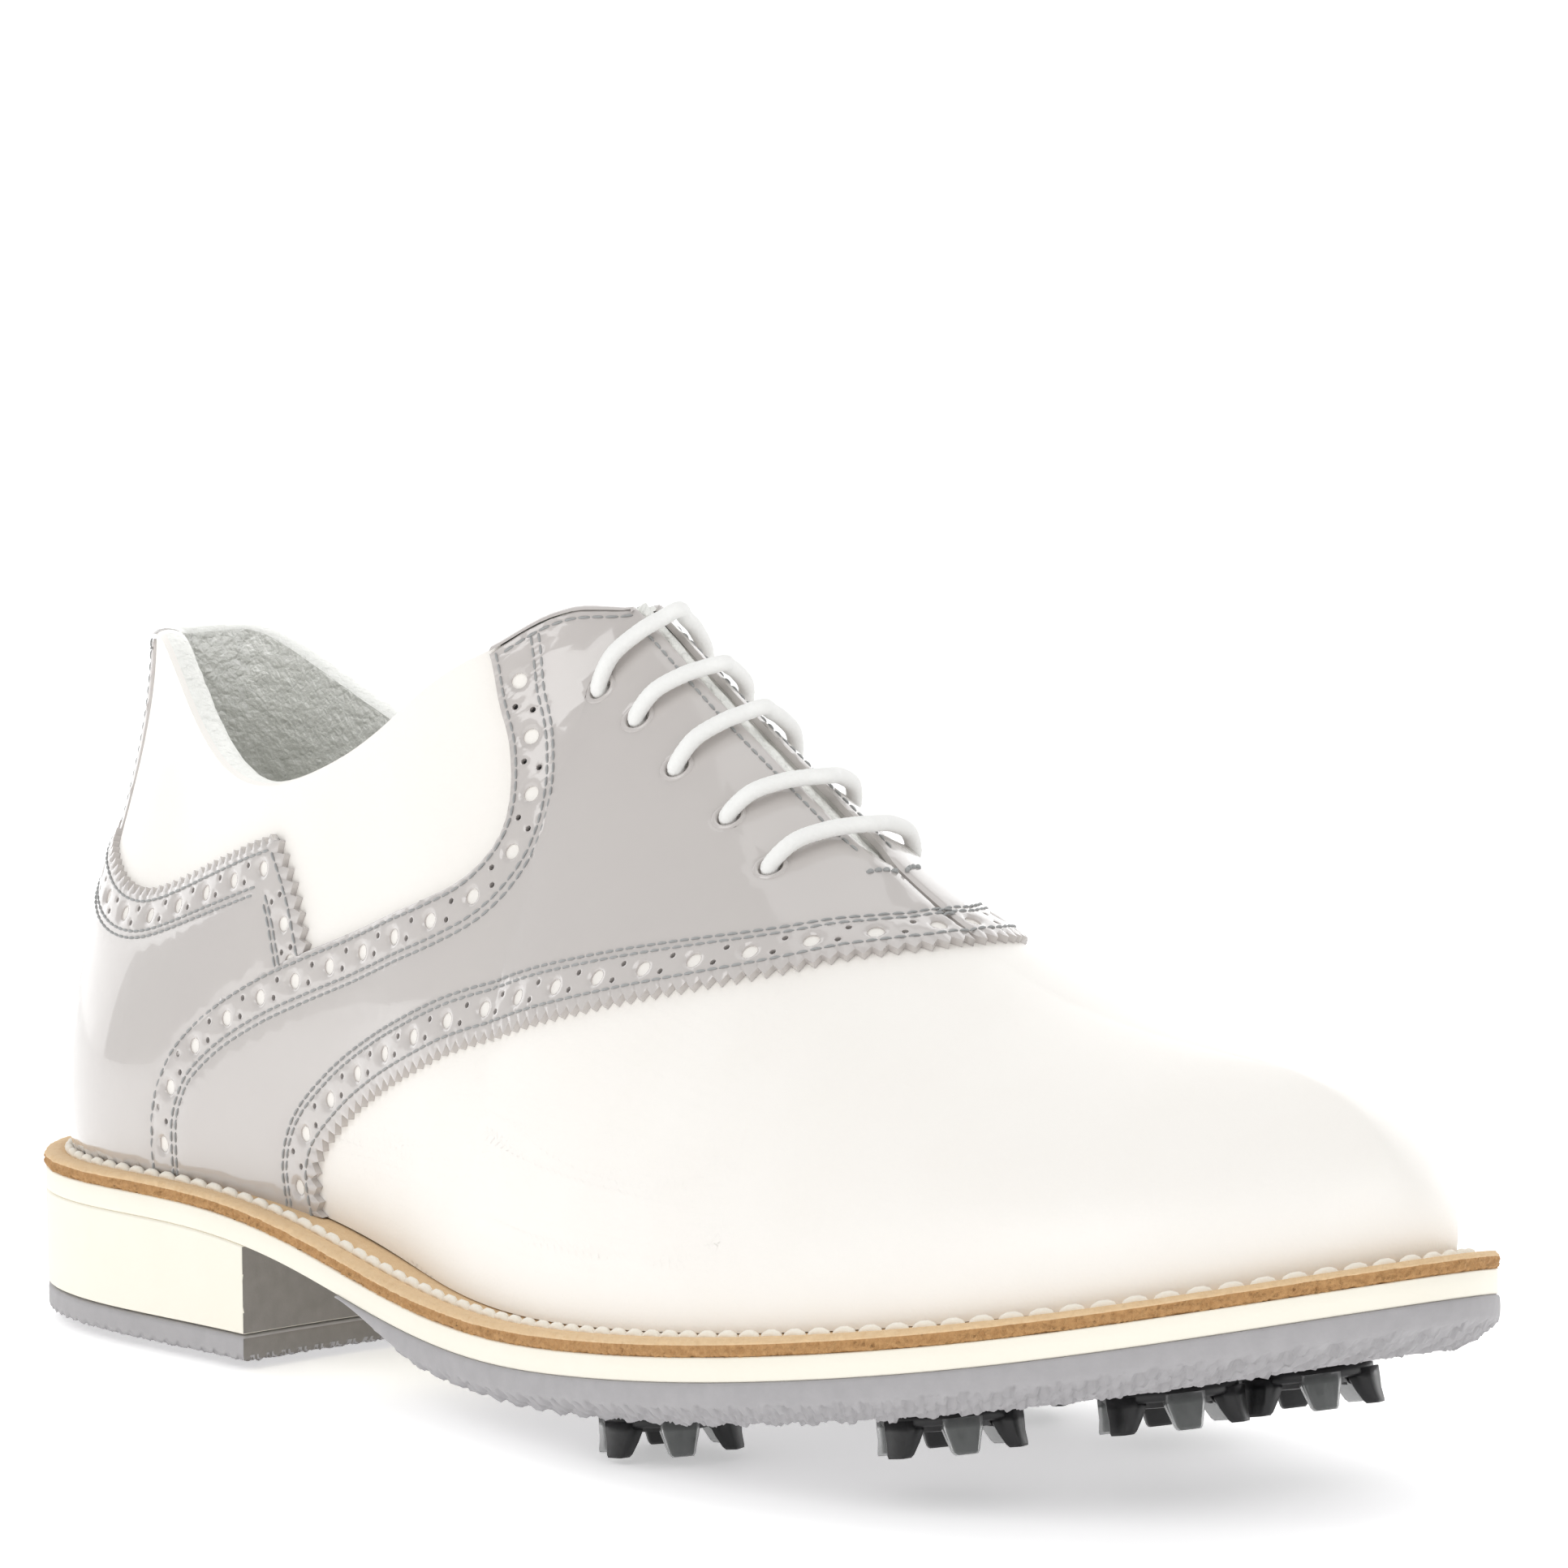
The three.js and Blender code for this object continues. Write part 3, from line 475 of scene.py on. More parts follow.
def cut_walls(upper, lower, faces):
    """Points and faces of the cut edges, down from every open edge of the upper face."""
    edges = dict.fromkeys((f[i], f[(i + 1) % 3]) for f in faces for i in range(3))
    border = [(a, b) for a, b in edges if (b, a) not in edges]
    number = {}
    points = []
    for i in dict.fromkeys(i for pair in border for i in pair):
        number[i] = len(upper) + len(points)
        points += [upper[i], lower[i]]
    return points, [(number[b], number[a], number[a] + 1, number[b] + 1) for a, b in border]


def cut_piece(name, outline, holes, seams, top):
    """A piece of leather cut to an outline in (s, v), punched, and sewn along its seams."""
    for seam in seams:
        sew(seam, top - SEAM_DIP + 0.1)
    loops = [loop * PLANE for loop in [outline] + holes]
    starts = np.cumsum([0] + [len(loop) for loop in loops]).tolist()
    edges = []
    for start, loop in zip(starts, loops):
        edges += [(start + i, start + (i + 1) % len(loop)) for i in range(len(loop))]
    extra = []
    for h in holes:
        for grow in (1.3, 1.75) if len(h) == HOLE_SIDES else (1.7, 2.6):
            extra.append((h - h.mean(0)) * grow + h.mean(0))
    for seam in seams:
        a = np.arange(0.4, seam.length, 0.9)
        extra += [seam.aside(a, d) for d in (-0.8, 0.0, 0.8)]
    spans = zip(loops[0].min(0), loops[0].max(0))
    gx, gy = np.meshgrid(*(np.arange(a, b, GRID) for a, b in spans))
    gx = gx + GRID / 2 * (np.arange(gx.shape[0])[:, None] % 2)
    inner = np.concatenate([np.concatenate(extra) * PLANE, np.stack([gx.ravel(), gy.ravel()], 1)])
    points = np.concatenate(loops + [inner[in_leather(inner, loops)]])
    found = delaunay_2d_cdt([Vector(p) for p in points], edges, [], 0, 1e-4)
    flat = np.array([tuple(p) for p in found[0]])
    old = np.array([min(c) if c else len(points) for c in found[3]])
    triangles = np.array([t for t in found[2] if len(t) == 3])
    triangles = triangles[in_leather(flat[triangles].mean(1), loops)]
    sv = flat / PLANE
    base, outward = on_last(*sv.T, 0)
    in_pinhole = np.zeros(len(base), bool)
    for start, h in zip(starts[1:], holes):
        if len(h) < HOLE_SIDES:
            in_pinhole |= (old >= start) & (old < start + len(h))
    rim = (old < starts[-1]) & ~in_pinhole
    rim_distance = near(base, base[rim], 3.0)
    rim_distance[rim] = 0
    drop = EDGE_ROUND * np.exp(-rim_distance / 0.4)
    drop[in_pinhole] = np.maximum(drop[in_pinhole], 0.12)
    seam_points = np.concatenate([seam.xyz_at(np.arange(0, seam.length, 0.45)) for seam in seams])
    drop = drop + SEAM_DIP * np.exp(-((near(base, seam_points, 2.0) / 0.55) ** 2))
    upper, _ = on_last(*sv.T, top - drop)
    lower, _ = on_last(*sv.T, OVERLAY_LOW)
    corner = upper[triangles]
    facing = np.cross(corner[:, 1] - corner[:, 0], corner[:, 2] - corner[:, 0])
    turned = (facing * outward[triangles[:, 0]]).sum(1) < 0
    triangles[turned] = triangles[turned][:, ::-1]
    faces = triangles.tolist()
    wall_points, walls = cut_walls(upper, lower, faces)
    return make_mesh(name, np.concatenate([upper, wall_points]), faces + walls)


# ---- patterns of the upper ----
SADDLE_FRONT = [
    (5.58, 0.0), (5.56, 0.04), (5.55, 0.085), (5.63, 0.14), (5.85, 0.2), (6.13, 0.253), (6.5, 0.295),
    (6.9, 0.3195), (7.3, 0.3325), (7.6, 0.3353), (7.85, 0.3373), (7.97, 0.3384), (8.04, 0.341),
    (8.15, 0.3485), (8.3, 0.3597), (8.5, 0.3757), (8.83, 0.404),
    (9.15, 0.434), (9.47, 0.466), (9.77, 0.498), (10.1, 0.537), (10.45, 0.585), (10.8, 0.645),
    (11.15, 0.722), (11.43, 0.79), (11.7, 0.88), (11.85, 0.992),
]
SADDLE_REAR = [
    (3.58, 0.0), (3.6, 0.08), (3.62, 0.15), (3.7, 0.225), (3.88, 0.315), (4.3, 0.42), (4.85, 0.505),
    (5.4, 0.555), (5.95, 0.58), (6.45, 0.587), (6.93, 0.578), (7.35, 0.572), (7.57, 0.595),
    (7.6, 0.645), (7.48, 0.74), (7.3, 0.85), (7.15, 0.985),
]
FOXING_SIDE = [
    (0.8, 0.62), (1.45, 0.575), (2.05, 0.55), (2.4, 0.547), (2.73, 0.565), (3.08, 0.608),
    (3.88, 0.742), (4.5, 0.822), (4.97, 0.855),
]
FOXING_TOP = [(-s, v) for s, v in FOXING_SIDE[::-1]] + [(0, 0.64)] + FOXING_SIDE
FOXING_FRONT = [(4.97, 0.855), (5.1, 0.79), (5.28, 0.685), (5.44, 0.555)]
BACKSTAY_SIDE = [(1.25, 0.56), (1.12, 0.66), (1.1, 0.77), (1.12, 0.88), (1.2, 0.99)]
BACKSTAY_TOP = 2.05
EYELET_SPOTS = [(8.12, 0.79), (8.58, 0.80), (9.1, 0.79), (9.68, 0.79), (10.2, 0.77)]
BIG_HOLE = 1.22
SMALL_HOLE = 0.48
PIN_ASIDE = 1.2
PITCH = 8.9
TOOTH = 2.3
TOOTH_DEPTH = 0.75


def gimped(seam):
    """(s, v) points of a zigzag edge, with a point close to each side of every corner."""
    count = max(2, int(seam.length / TOOTH))
    a = np.linspace(0, seam.length, 2 * count + 1)
    zigzag = np.stack([a, np.where(np.arange(len(a)) % 2, TOOTH_DEPTH, -TOOTH_DEPTH)])[..., None]
    fine = zigzag[:, :-1] * (1, 0.85, 0.15) + zigzag[:, 1:] * (0, 0.15, 0.85)
    return seam.aside(*fine.reshape(2, -1))


def plain(seam, pitch=1.2):
    return seam.at(np.linspace(0, seam.length, max(3, int(seam.length / pitch) + 1)))


def brogue(seam, start, end):
    """Big holes along a line with a pair of small ones between each two."""
    room = seam.length - start - end
    count = max(1, int(round(room / PITCH)))
    pitch = room / count
    holes = []
    for i in range(count + 1):
        a = start + i * pitch
        holes.append(ring_on_last(seam.at(a), BIG_HOLE, HOLE_SIDES))
        if i < count:
            for d, along in ((-PIN_ASIDE, -0.75), (PIN_ASIDE, 0.75)):
                spot = seam.aside(np.array([a + pitch / 2 + along]), d)[0]
                holes.append(ring_on_last(spot, SMALL_HOLE, PINHOLE_SIDES))
    return holes


def back_holes(holes):
    """White leather showing close behind the big holes, and painted shade: dark discs set low in each
    pinhole.
    """
    for hole in holes:
        middle = hole.mean(0)
        pile, sink = (underlay, 0.75) if len(hole) == HOLE_SIDES else (pinhole_shade, 0.95)
        fan = np.concatenate([(hole - middle) * 1.12 + middle, [middle]])
        points, _ = on_last(*fan.T, OVERLAY_TOP - sink)
        n = len(hole)
        pile.add(points, [(i, (i + 1) % n, n) for i in range(n)])


def sided(knots, side):
    """Knots of the lateral side, or their mirror on the medial one."""
    return [(side * s, v) for s, v in knots]


def facing_v(k):
    """How far up the side the edge of the throat runs, at each rib."""
    return np.interp(k, [8.0, 8.3, 10.3, 10.6, 10.8, 11.85], [0.945, 0.95, 0.955, 0.968, 0.992, 0.993])


def make_saddle(word):
    """One saddle: waist to throat, gimped at the front and plain at the back."""
    side = SIDES[word]
    front = Line(sided(SADDLE_FRONT, side))
    rear = Line(sided(SADDLE_REAR, side))
    k = np.linspace(11.85, 8.05, 46)
    facing = np.stack([side * k, facing_v(k)], -1)
    corner = sided([(7.97, 0.965), (7.85, 0.982), (7.65, 0.99), (7.35, 0.99)], side)
    outline = np.concatenate([gimped(front), facing[1:], corner, plain(rear)[::-1]])
    tack = Line(sided([(10.78, 0.905), (10.83, 0.95), (10.9, 0.985)], side))
    sew(tack, OVERLAY_TOP + 0.05, 1.1, 0.1, 0.36)
    seams = [front.beside(side * d) for d in (1.8, 6.9, 8.0)]
    seams += [rear.beside(-side * d) for d in (1.0, 6.2, 7.3)]
    seams.append(Line(facing[15:-1] - (0, 0.03)))
    seams.append(Line(sided([(8.0, 0.93), (7.85, 0.955), (7.6, 0.965), (7.25, 0.965)], side)))
    holes = brogue(front.beside(side * 4.3), 5, 4) + brogue(rear.beside(-side * 3.6), 5, 6)
    back_holes(holes)
    holes += [ring_on_last((side * s, v), 1.75, HOLE_SIDES) for s, v in EYELET_SPOTS]
    return cut_piece("saddle_" + word, outline, holes, seams, OVERLAY_TOP)


def make_foxing():
    """The heel piece: gimped along the top and down its front edges."""
    top = Line(FOXING_TOP)
    right = Line(FOXING_FRONT)
    left = Line(sided(FOXING_FRONT, -1)[::-1])
    hidden = [(s + 0.12, v) for s, v in SADDLE_REAR if s < 5.3]
    hem = [(s, 0.0) for s in np.linspace(3.6, -3.6, 60)[1:-1]]
    outline = np.concatenate([
        gimped(top), gimped(right), hidden[::-1], hem, sided(hidden, -1), gimped(left),
    ])
    holes = brogue(top.beside(-4.1), 4.3, 4.3)
    right_band, left_band = right.beside(-4.1), left.beside(-4.1)
    for a in (13.0, 21.5):
        bands = ((right_band, a, -4.3), (left_band, left_band.length - a, 4.3))
        holes += [ring_on_last(band.at(b), BIG_HOLE, HOLE_SIDES) for band, b, _ in bands]
        for d in (-PIN_ASIDE, PIN_ASIDE):
            spots = [band.aside(b + back, d) for band, b, back in bands]
            holes += [ring_on_last(spot, SMALL_HOLE, PINHOLE_SIDES) for spot in spots]
    back_holes(holes)
    rows = (1.7, 6.6, 7.7)
    seams = [top.beside(-d).part(d, d) for d in rows]
    for d in rows:
        seams += [right.beside(-d).part(d, 0), left.beside(-d).part(0, d)]
    return cut_piece("heel_foxing", outline, holes, seams, OVERLAY_TOP)


def make_backstay():
    right = Line(BACKSTAY_SIDE)
    left = Line(sided(BACKSTAY_SIDE, -1))
    top = Line([(s, 0.99) for s in (1.2, 0.6, 0, -0.6, -1.2)])
    bottom = Line([(s, 0.56) for s in (-1.25, 0, 1.25)])
    lines = [plain(right), plain(top)[1:], plain(left)[::-1][1:], plain(bottom)[1:-1]]
    seams = [right.beside(1.5), left.beside(-1.5), top.beside(1.6)]
    return cut_piece("backstay", np.concatenate(lines), [], seams, BACKSTAY_TOP)


# ---- sheets ----
def sheet(name, s, v, top, low, folded=False):
    """A grid sheet following the last, with walls down to low round its border.

    The two halves of the last row of a folded sheet are one row.
    """
    s, v = np.broadcast_arrays(s, v)
    rows, columns = s.shape
    top_points, normals = (a.reshape(-1, 3) for a in on_last(s, v, top))
    low_points = on_last(s, v, low)[0].reshape(-1, 3)
    index = np.arange(rows * columns).reshape(rows, columns)
    border = border_of(index)
    if folded:
        border = np.concatenate([index[:0:-1, 0], index[0], index[1:, -1]])
        half = columns // 2
        index[-1, half + 1 :] = index[-1, :half][::-1]
    face = index.ravel()[np.array(grid_faces(rows, columns))]
    corner = top_points[face]
    span = np.cross(corner[:, 2] - corner[:, 0], corner[:, 3] - corner[:, 1])
    flip = (span * normals[face[:, 0]]).sum(1).mean() < 0
    if flip:
        face = face[:, ::-1]
    n, m = rows * columns, len(border)
    i = np.arange(m - 1 if folded else m)
    j = (i + 1) % m
    walls = 2 * n + np.stack([i, j, m + j, m + i], -1)
    faces = np.concatenate([face, face[:, ::-1] + n, walls if flip else walls[:, ::-1]])
    points = np.concatenate([top_points, low_points, top_points[border], low_points[border]])
    used, faces = np.unique(faces, return_inverse=True)
    return make_mesh(name, points[used], faces.reshape(-1, 4).tolist())


def make_vamp():
    w = np.linspace(0, 2, 97)
    v = np.where(w > 1, 2 - w, w)
    start = np.interp(
        v, [0, 0.12, 0.32, 0.37, 0.48, 0.59, 0.74, 0.9, 1.0],
        [5.2, 5.3, 6.3, 7.5, 8.7, 9.7, 10.6, 11.3, 11.5],
    )
    k = start + (15 - start) * np.linspace(0, 1, 110)[:, None]
    return sheet("vamp", np.where(w > 1, -k, k), v, LEATHER, 0.0, folded=True)


def rim_v(k):
    """How far up the side the leather ends, at each rib."""
    return np.interp(
        k, [0, 7.0, 7.35, 7.6, 7.8, 7.95, 8.1, 9, 10.3, 10.6, 10.9, 11.6],
        [1, 1, 0.99, 0.985, 0.972, 0.955, 0.935, 0.94, 0.94, 0.95, 0.98, 0.985],
    )


def make_quarter(word):
    k = np.linspace(0, 11.0, 130)
    v = np.linspace(0, 1, 54)[:, None] * rim_v(k)
    return sheet("quarter_" + word, SIDES[word] * k, v, LEATHER, -0.05)


def make_lining():
    s = np.linspace(-11.3, 11.3, 240)
    v = 0.03 + np.linspace(0, 1, 50)[:, None] * (rim_v(np.abs(s)) - 0.03)
    wrinkle = 0.10 * np.sin(s * 31 + 9 * v) * np.sin(v * 95 + 3 * np.sin(s * 7))
    return sheet("quarter_lining", s, v, LINING_TOP, LINING_BASE + wrinkle)


def make_collar_roll(name, start, end, outer):
    """The turned-over top edge of the leather, and the numbers of its faces on the lining side."""
    s = np.linspace(start, end, max(12, int((end - start) * 18)))
    radius = (outer - LINING_BASE) / 2
    middle = (outer + LINING_BASE) / 2
    v = np.interp(np.abs(s), [0, 7.15, 7.65, 7.85, 7.97, 8.05], [0.998, 0.992, 0.988, 0.98, 0.965, 0.95])
    p, _, up, n = frame_at(s, v)
    w = np.linspace(0, math.pi, 11)[:, None, None]
    rings = p + n * (middle + radius * np.cos(w)) + unit(up) * (0.45 * radius * np.sin(w))
    faces = grid_faces(len(w), len(s))
    roll = make_mesh(name, rings.reshape(-1, 3), faces)
    return roll, range(3 * (len(s) - 1), len(faces))


def ridge_frame(k):
    """Point, forward direction and upward normal of the ridge at rib k."""
    forward = unit(ridge_table(k - 8 + 0.02) - ridge_table(k - 8 - 0.02))
    return ridge_table(k - 8), forward, unit(np.cross(forward, [0.0, 1.0, 0.0]))


TONGUE_THICK = 1.4
TONGUE_SPAN = 0.25
TONGUE_RISE = 3.4


def make_tongue():
    """The tongue: a soft strip following the inside of the facings, rounded off at its top."""
    k = np.concatenate([np.linspace(0, 1, 16)[:-1], np.linspace(1, 2, 80)])
    across = np.linspace(-1, 1, 61)
    above = np.clip(1 - k, 0, 1)[:, None]
    rib = 8.0 + 3.6 * np.clip(k - 1, 0, 1)[:, None]
    wide = np.sqrt(np.clip(1 - above**2.5, 0.02, 1))
    v = 1 - TONGUE_SPAN * np.abs(across) * wide
    s = np.where(across < 0, rib, -rib)
    crinkle = 0.09 * np.sin(s * 23 + 4 * across) * np.sin(across * 26)
    bulge = (4.2 * smoothstep(0.86, 0.94, v) + 4.4 * smoothstep(0.945, 0.975, v)) * (1 - 0.45 * above)
    _, forward, _ = ridge_frame(8.0)
    lift = (np.array([1.2, 0, -0.8]) - forward * TONGUE_RISE) * above[..., None]
    top = on_last(s, v, TONGUE_TOP + crinkle + bulge)[0] + lift
    low = on_last(s, v, TONGUE_TOP - TONGUE_THICK + bulge)[0] + lift
    n = s.size
    faces = []
    for quad in grid_faces(*s.shape):
        faces += [quad[::-1], tuple(i + n for i in quad)]
    ring = border_of(np.arange(n).reshape(s.shape)).tolist()
    faces += [(a, b, b + n, a + n) for a, b in zip(ring, ring[1:] + ring[:1])]
    return make_mesh("tongue", np.concatenate([top.reshape(-1, 3), low.reshape(-1, 3)]), faces)


# ---- lace ----
LACE_STRANDS = 8
LACE_RELIEF = 0.075
LACE_LAY = 3.4
LACE_PITCH = 0.22
LACE_SIDES = 24
CREST = [8.3, 8.85, 9.3, 10.0, 10.5]  # ribs over which the bars cross the throat


def carried_frames(path):
    """Directions across a path, carried along it without twist."""
    forward = unit(np.gradient(path, axis=0))
    side = np.cross(forward[0], [0.3, 0.2, 1.0])
    sides = []
    for t in forward:
        side = unit(side - t * side.dot(t))
        sides.append(side)
    return np.array(sides), np.cross(forward, sides)


def lace_spot(side, i, d):
    s, v = EYELET_SPOTS[i]
    return on_last(side * s, v, d)[0]


def lace_dive(side, i):
    """Down through an eyelet."""
    return [lace_spot(side, i, d) for d in (LACE_OVER * 0.72, 0.6, LACE_UNDER * 0.75)]


def lace_climb(side, i):
    """From an eyelet towards the crest of the throat, close over the leather."""
    k, v = EYELET_SPOTS[i]
    spots = [(k + (CREST[i] - k) * f, v + (0.995 - v) * f) for f in (0.25, 0.52, 0.76)]
    return [on_last(side * rib, high, LACE_OVER + 0.55)[0] for rib, high in spots]


def lace_tail(side, i, heights):
    return [on_last(side * EYELET_SPOTS[i][0], v, LACE_UNDER)[0] for v in heights]


def lace_path():
    """Bars over the throat, rungs underneath, and a tail tucked in at each end, in even steps."""
    knots = lace_tail(1, 0, (0.52, 0.6, 0.68, 0.745))
    side = 1
    for i in range(len(CREST)):
        top, _, up = ridge_frame(CREST[i])
        knots += lace_dive(side, i)[::-1] + lace_climb(side, i)
        knots += [top + up * (LACE_OVER + 1.0)] + lace_climb(-side, i)[::-1]
        side = -side
        knots += lace_dive(side, i)
        if i < len(CREST) - 1:
            a, b = lace_spot(side, i, LACE_UNDER), lace_spot(side, i + 1, LACE_UNDER)
            knots += [a * 0.7 + b * 0.3, a * 0.3 + b * 0.7]
    knots = np.array(knots + lace_tail(side, 4, (0.72, 0.64, 0.57, 0.5)))
    path = catmull(knots, np.linspace(0, len(knots) - 1, 40 * (len(knots) - 1) + 1), False)
    arc = arc_of(path)
    return pick(np.arange(0, arc[-1], LACE_PITCH), arc, path)


def make_lace():
    """A round braid: strands winding both ways, over and under each other."""
    path = lace_path()
    a, b = carried_frames(path)
    w = np.linspace(0, 2 * math.pi, LACE_SIDES, endpoint=False)
    turn = 2 * math.pi * (np.arange(len(path))[:, None] * LACE_PITCH) / LACE_LAY
    one = np.sin(LACE_STRANDS * w / 2 + turn * 1.5)
    two = np.sin(LACE_STRANDS * w / 2 - turn * 1.5)
    strand = np.abs(np.where(one * two > 0, one, two))
    r = LACE_RADIUS * (1 - LACE_RELIEF + LACE_RELIEF * strand)
    w = w[:, None]
    points = path[:, None] + r[..., None] * (a[:, None] * np.cos(w) + b[:, None] * np.sin(w))
    return make_mesh("lace", points.reshape(-1, 3), tube_faces(len(path), LACE_SIDES))


LIP_SHAPE = [
    (1.72, 1.0), (1.70, OVERLAY_TOP - 0.2), (1.85, OVERLAY_TOP + 0.12), (2.2, OVERLAY_TOP + 0.16),
    (2.5, OVERLAY_TOP - 0.1),
]


def make_lip(name, spot):
    """A short turned-in lip round a lace hole, on the outside of the leather."""
    return loft(name, [on_last(*ring_on_last(spot, r, 24).T, height)[0] for r, height in LIP_SHAPE])


# ---- soles ----
OUTSOLE_BACK = 112.0
MIDSOLE_LOW = -3.53  # heights below the sole line
OUTSOLE_HIGH = -3.55
TREAD_LOW = -9.75
INNER = -14.0  # the ring, inside the edge, on which hidden faces start
HOLLOW = 3.0  # the breast of the heel is hollowed by this much


def outline_all(d, count):
    """The whole sole edge moved out by d, in steps even along its length."""
    u = np.linspace(0, 28, 2801)
    arc = arc_of(edge_table(u))
    even = np.linspace(0, arc[-1], count, endpoint=False)
    return edge(np.interp(even, arc, u), d)[0]


def outline_part(d, count, rear, hollow=0.0):
    """The sole edge of the heel (rear) or of the outsole, moved out by d and closed across."""
    u = np.linspace(0, 28, 5601)[:-1]
    x = edge_table(u)[:, 0]
    if rear:
        u = np.concatenate([u[u > 14][x[u > 14] < BREAST] - 28, u[u < 14][x[u < 14] < BREAST]])
    else:
        u = u[x > OUTSOLE_BACK]
    q, _ = edge(u, d)
    limit = BREAST + d if rear else OUTSOLE_BACK - d
    q = q[q[:, 0] < limit] if rear else q[q[:, 0] > limit]
    a = np.array([limit, q[-1, 1]])
    b = np.array([limit, q[0, 1]])
    f = np.linspace(0, 1, 60)[:, None]
    breast = a + (b - a) * f
    breast[:, 0] -= hollow * np.sin(np.pi * f[:, 0])
    closed = np.concatenate([q, breast, q[:1]])
    arc = arc_of(closed)
    # even steps on the curve, with the two breast corners kept
    g = np.linspace(0, arc[-1], count, endpoint=False)
    for corner in (arc[len(q)], arc[-2]):
        g[np.argmin(np.abs(g - corner))] = corner
    return pick(g, arc, closed)


def toward_spine(loop, f):
    """Plan points drawn in towards the middle line of the sole."""
    x = np.clip(loop[:, 0], loop[:, 0].min() + 16, loop[:, 0].max() - 22)
    u = np.linspace(0, 14, 400)
    a, b = edge_table(u), edge_table(28 - u)
    order_a, order_b = np.argsort(a[:, 0]), np.argsort(b[:, 0])
    y = (np.interp(x, a[order_a, 0], a[order_a, 1]) + np.interp(x, b[order_b, 0], b[order_b, 1])) / 2
    middle = np.stack([x, y], -1)
    return loop * (1 - f) + middle * f


def ring3(loop, height):
    """A plan loop set at a height above or below the sole line."""
    return np.concatenate([loop, (sole_z(loop[:, 0]) + height)[:, None]], -1)


def noise(points, scale, seed):
    """Cheap repeatable bumps: sums of sines at odd angles."""
    rng = np.random.default_rng(seed)
    out = np.zeros(len(points))
    for _ in range(14):
        k = rng.normal(size=3)
        k *= rng.uniform(0.6, 1.9) / np.linalg.norm(k) / scale
        out += np.sin(points @ k * 2 * math.pi + rng.uniform(0, 6.3))
    return out / 3.7


def tooth_phase(ring, pitch):
    """An angle that runs round a ring, one whole turn to each tooth."""
    steps = np.linalg.norm(np.roll(ring, -1, axis=0) - ring, axis=1)
    share = np.concatenate([[0], np.cumsum(steps)[:-1]]) / steps.sum()
    return share * round(steps.sum() / pitch) * 2 * math.pi


def knurl(plan, pitch):
    """Crossed bars over a tread, from -1 to 1."""
    x, y = plan[:, 0], plan[:, 1]
    bars = np.sin((x + y) * 2 * math.pi / pitch) * np.sin((x - y) * 2 * math.pi / pitch)
    return np.clip(bars * 3, -1, 1)


WELT_SHAPE = [  # (distance out, height), with a stitch groove and a rough cut edge
    (-10.2, 0.0), (-10.2, 2.5), (-8, WELT), (-6.2, WELT), (-4.9, WELT - 0.35), (-3.7, WELT - 0.5),
    (-2.9, WELT - 0.35), (-2.4, WELT), (-1.3, WELT), (-0.45, WELT - 0.08), (-0.1, WELT - 0.45),
    (0.05, 2.0), (0.05, 1.7), (0.05, 1.3), (0.05, 1.0), (0.03, 0.7), (0, 0.4), (-0.25, 0.05),
    (-1.0, 0.0), (-10.2, 0.0),
]
GROOVE = -3.7
STITCH_PITCH = 4.3
STITCH_RADIUS = 0.74


def make_welt():
    """The welt, and the numbers of the faces of its cut edge."""
    n = 1900
    rings = []
    for d, h in WELT_SHAPE:
        ring = ring3(outline_all(d, n), h)
        if -1.5 < d:
            low_share = 1.6 if h < 1.5 else 0.6
            rough = low_share * noise(ring, 0.8, 5) * 0.12 + noise(ring * [1, 1, 3.0], 4.5, 6) * 0.10
            out = outline_all(d + 1, n) - outline_all(d, n)
            ring[:, :2] += out * rough[:, None]
        rings.append(ring)
    last_row = len(rings) - 2
    cut = [last_row - i for i, (d, h) in enumerate(WELT_SHAPE) if d >= -0.3 and 0.3 < h <= 1.75]
    return loft("welt", rings[::-1]), [row * n + i for row in cut for i in range(n)]


def make_welt_stitches():
    pile = Pile()
    p, _ = edge(np.linspace(0, 28, 5601), GROOVE)
    arc = arc_of(p)
    count = int(arc[-1] / STITCH_PITCH)
    pitch = arc[-1] / count
    a = np.arange(count) * pitch
    starts, ends = (
        ring3(pick(np.mod(at, arc[-1]), arc, p), WELT - 0.1) for at in (a + 0.2, a + pitch - 0.2)
    )
    up = np.broadcast_to([0.0, 0.0, 1.0], (count, 3))
    add_stitches(pile, starts, ends, up, STITCH_RADIUS, 8)
    return pile.make("welt_stitching")


def make_midsole():
    n = 900
    shape = [
        (INNER, -0.02), (-0.3, -0.02), (-0.08, -0.1), (0, -0.3), (0, -1.8), (0, -3.2), (-0.05, -3.42),
        (-0.25, MIDSOLE_LOW), (INNER, MIDSOLE_LOW),
    ]
    rings = [ring3(outline_all(d, n), h) for d, h in shape]
    for f in (0.5, 1.0):
        field = toward_spine(outline_all(INNER, n), f)
        rings = [ring3(field, -0.02)] + rings + [ring3(field, MIDSOLE_LOW)]
    return loft("midsole", rings)


def skived(ring):
    """Thins a ring of the outsole to nothing at its back end, in the waist."""
    high = sole_z(ring[:, 0]) + OUTSOLE_HIGH
    share = 0.12 + 0.88 * smoothstep(OUTSOLE_BACK - 1, OUTSOLE_BACK + 26, ring[:, 0])
    return np.concatenate([ring[:, :2], (high + (ring[:, 2] - high) * share)[:, None]], -1)


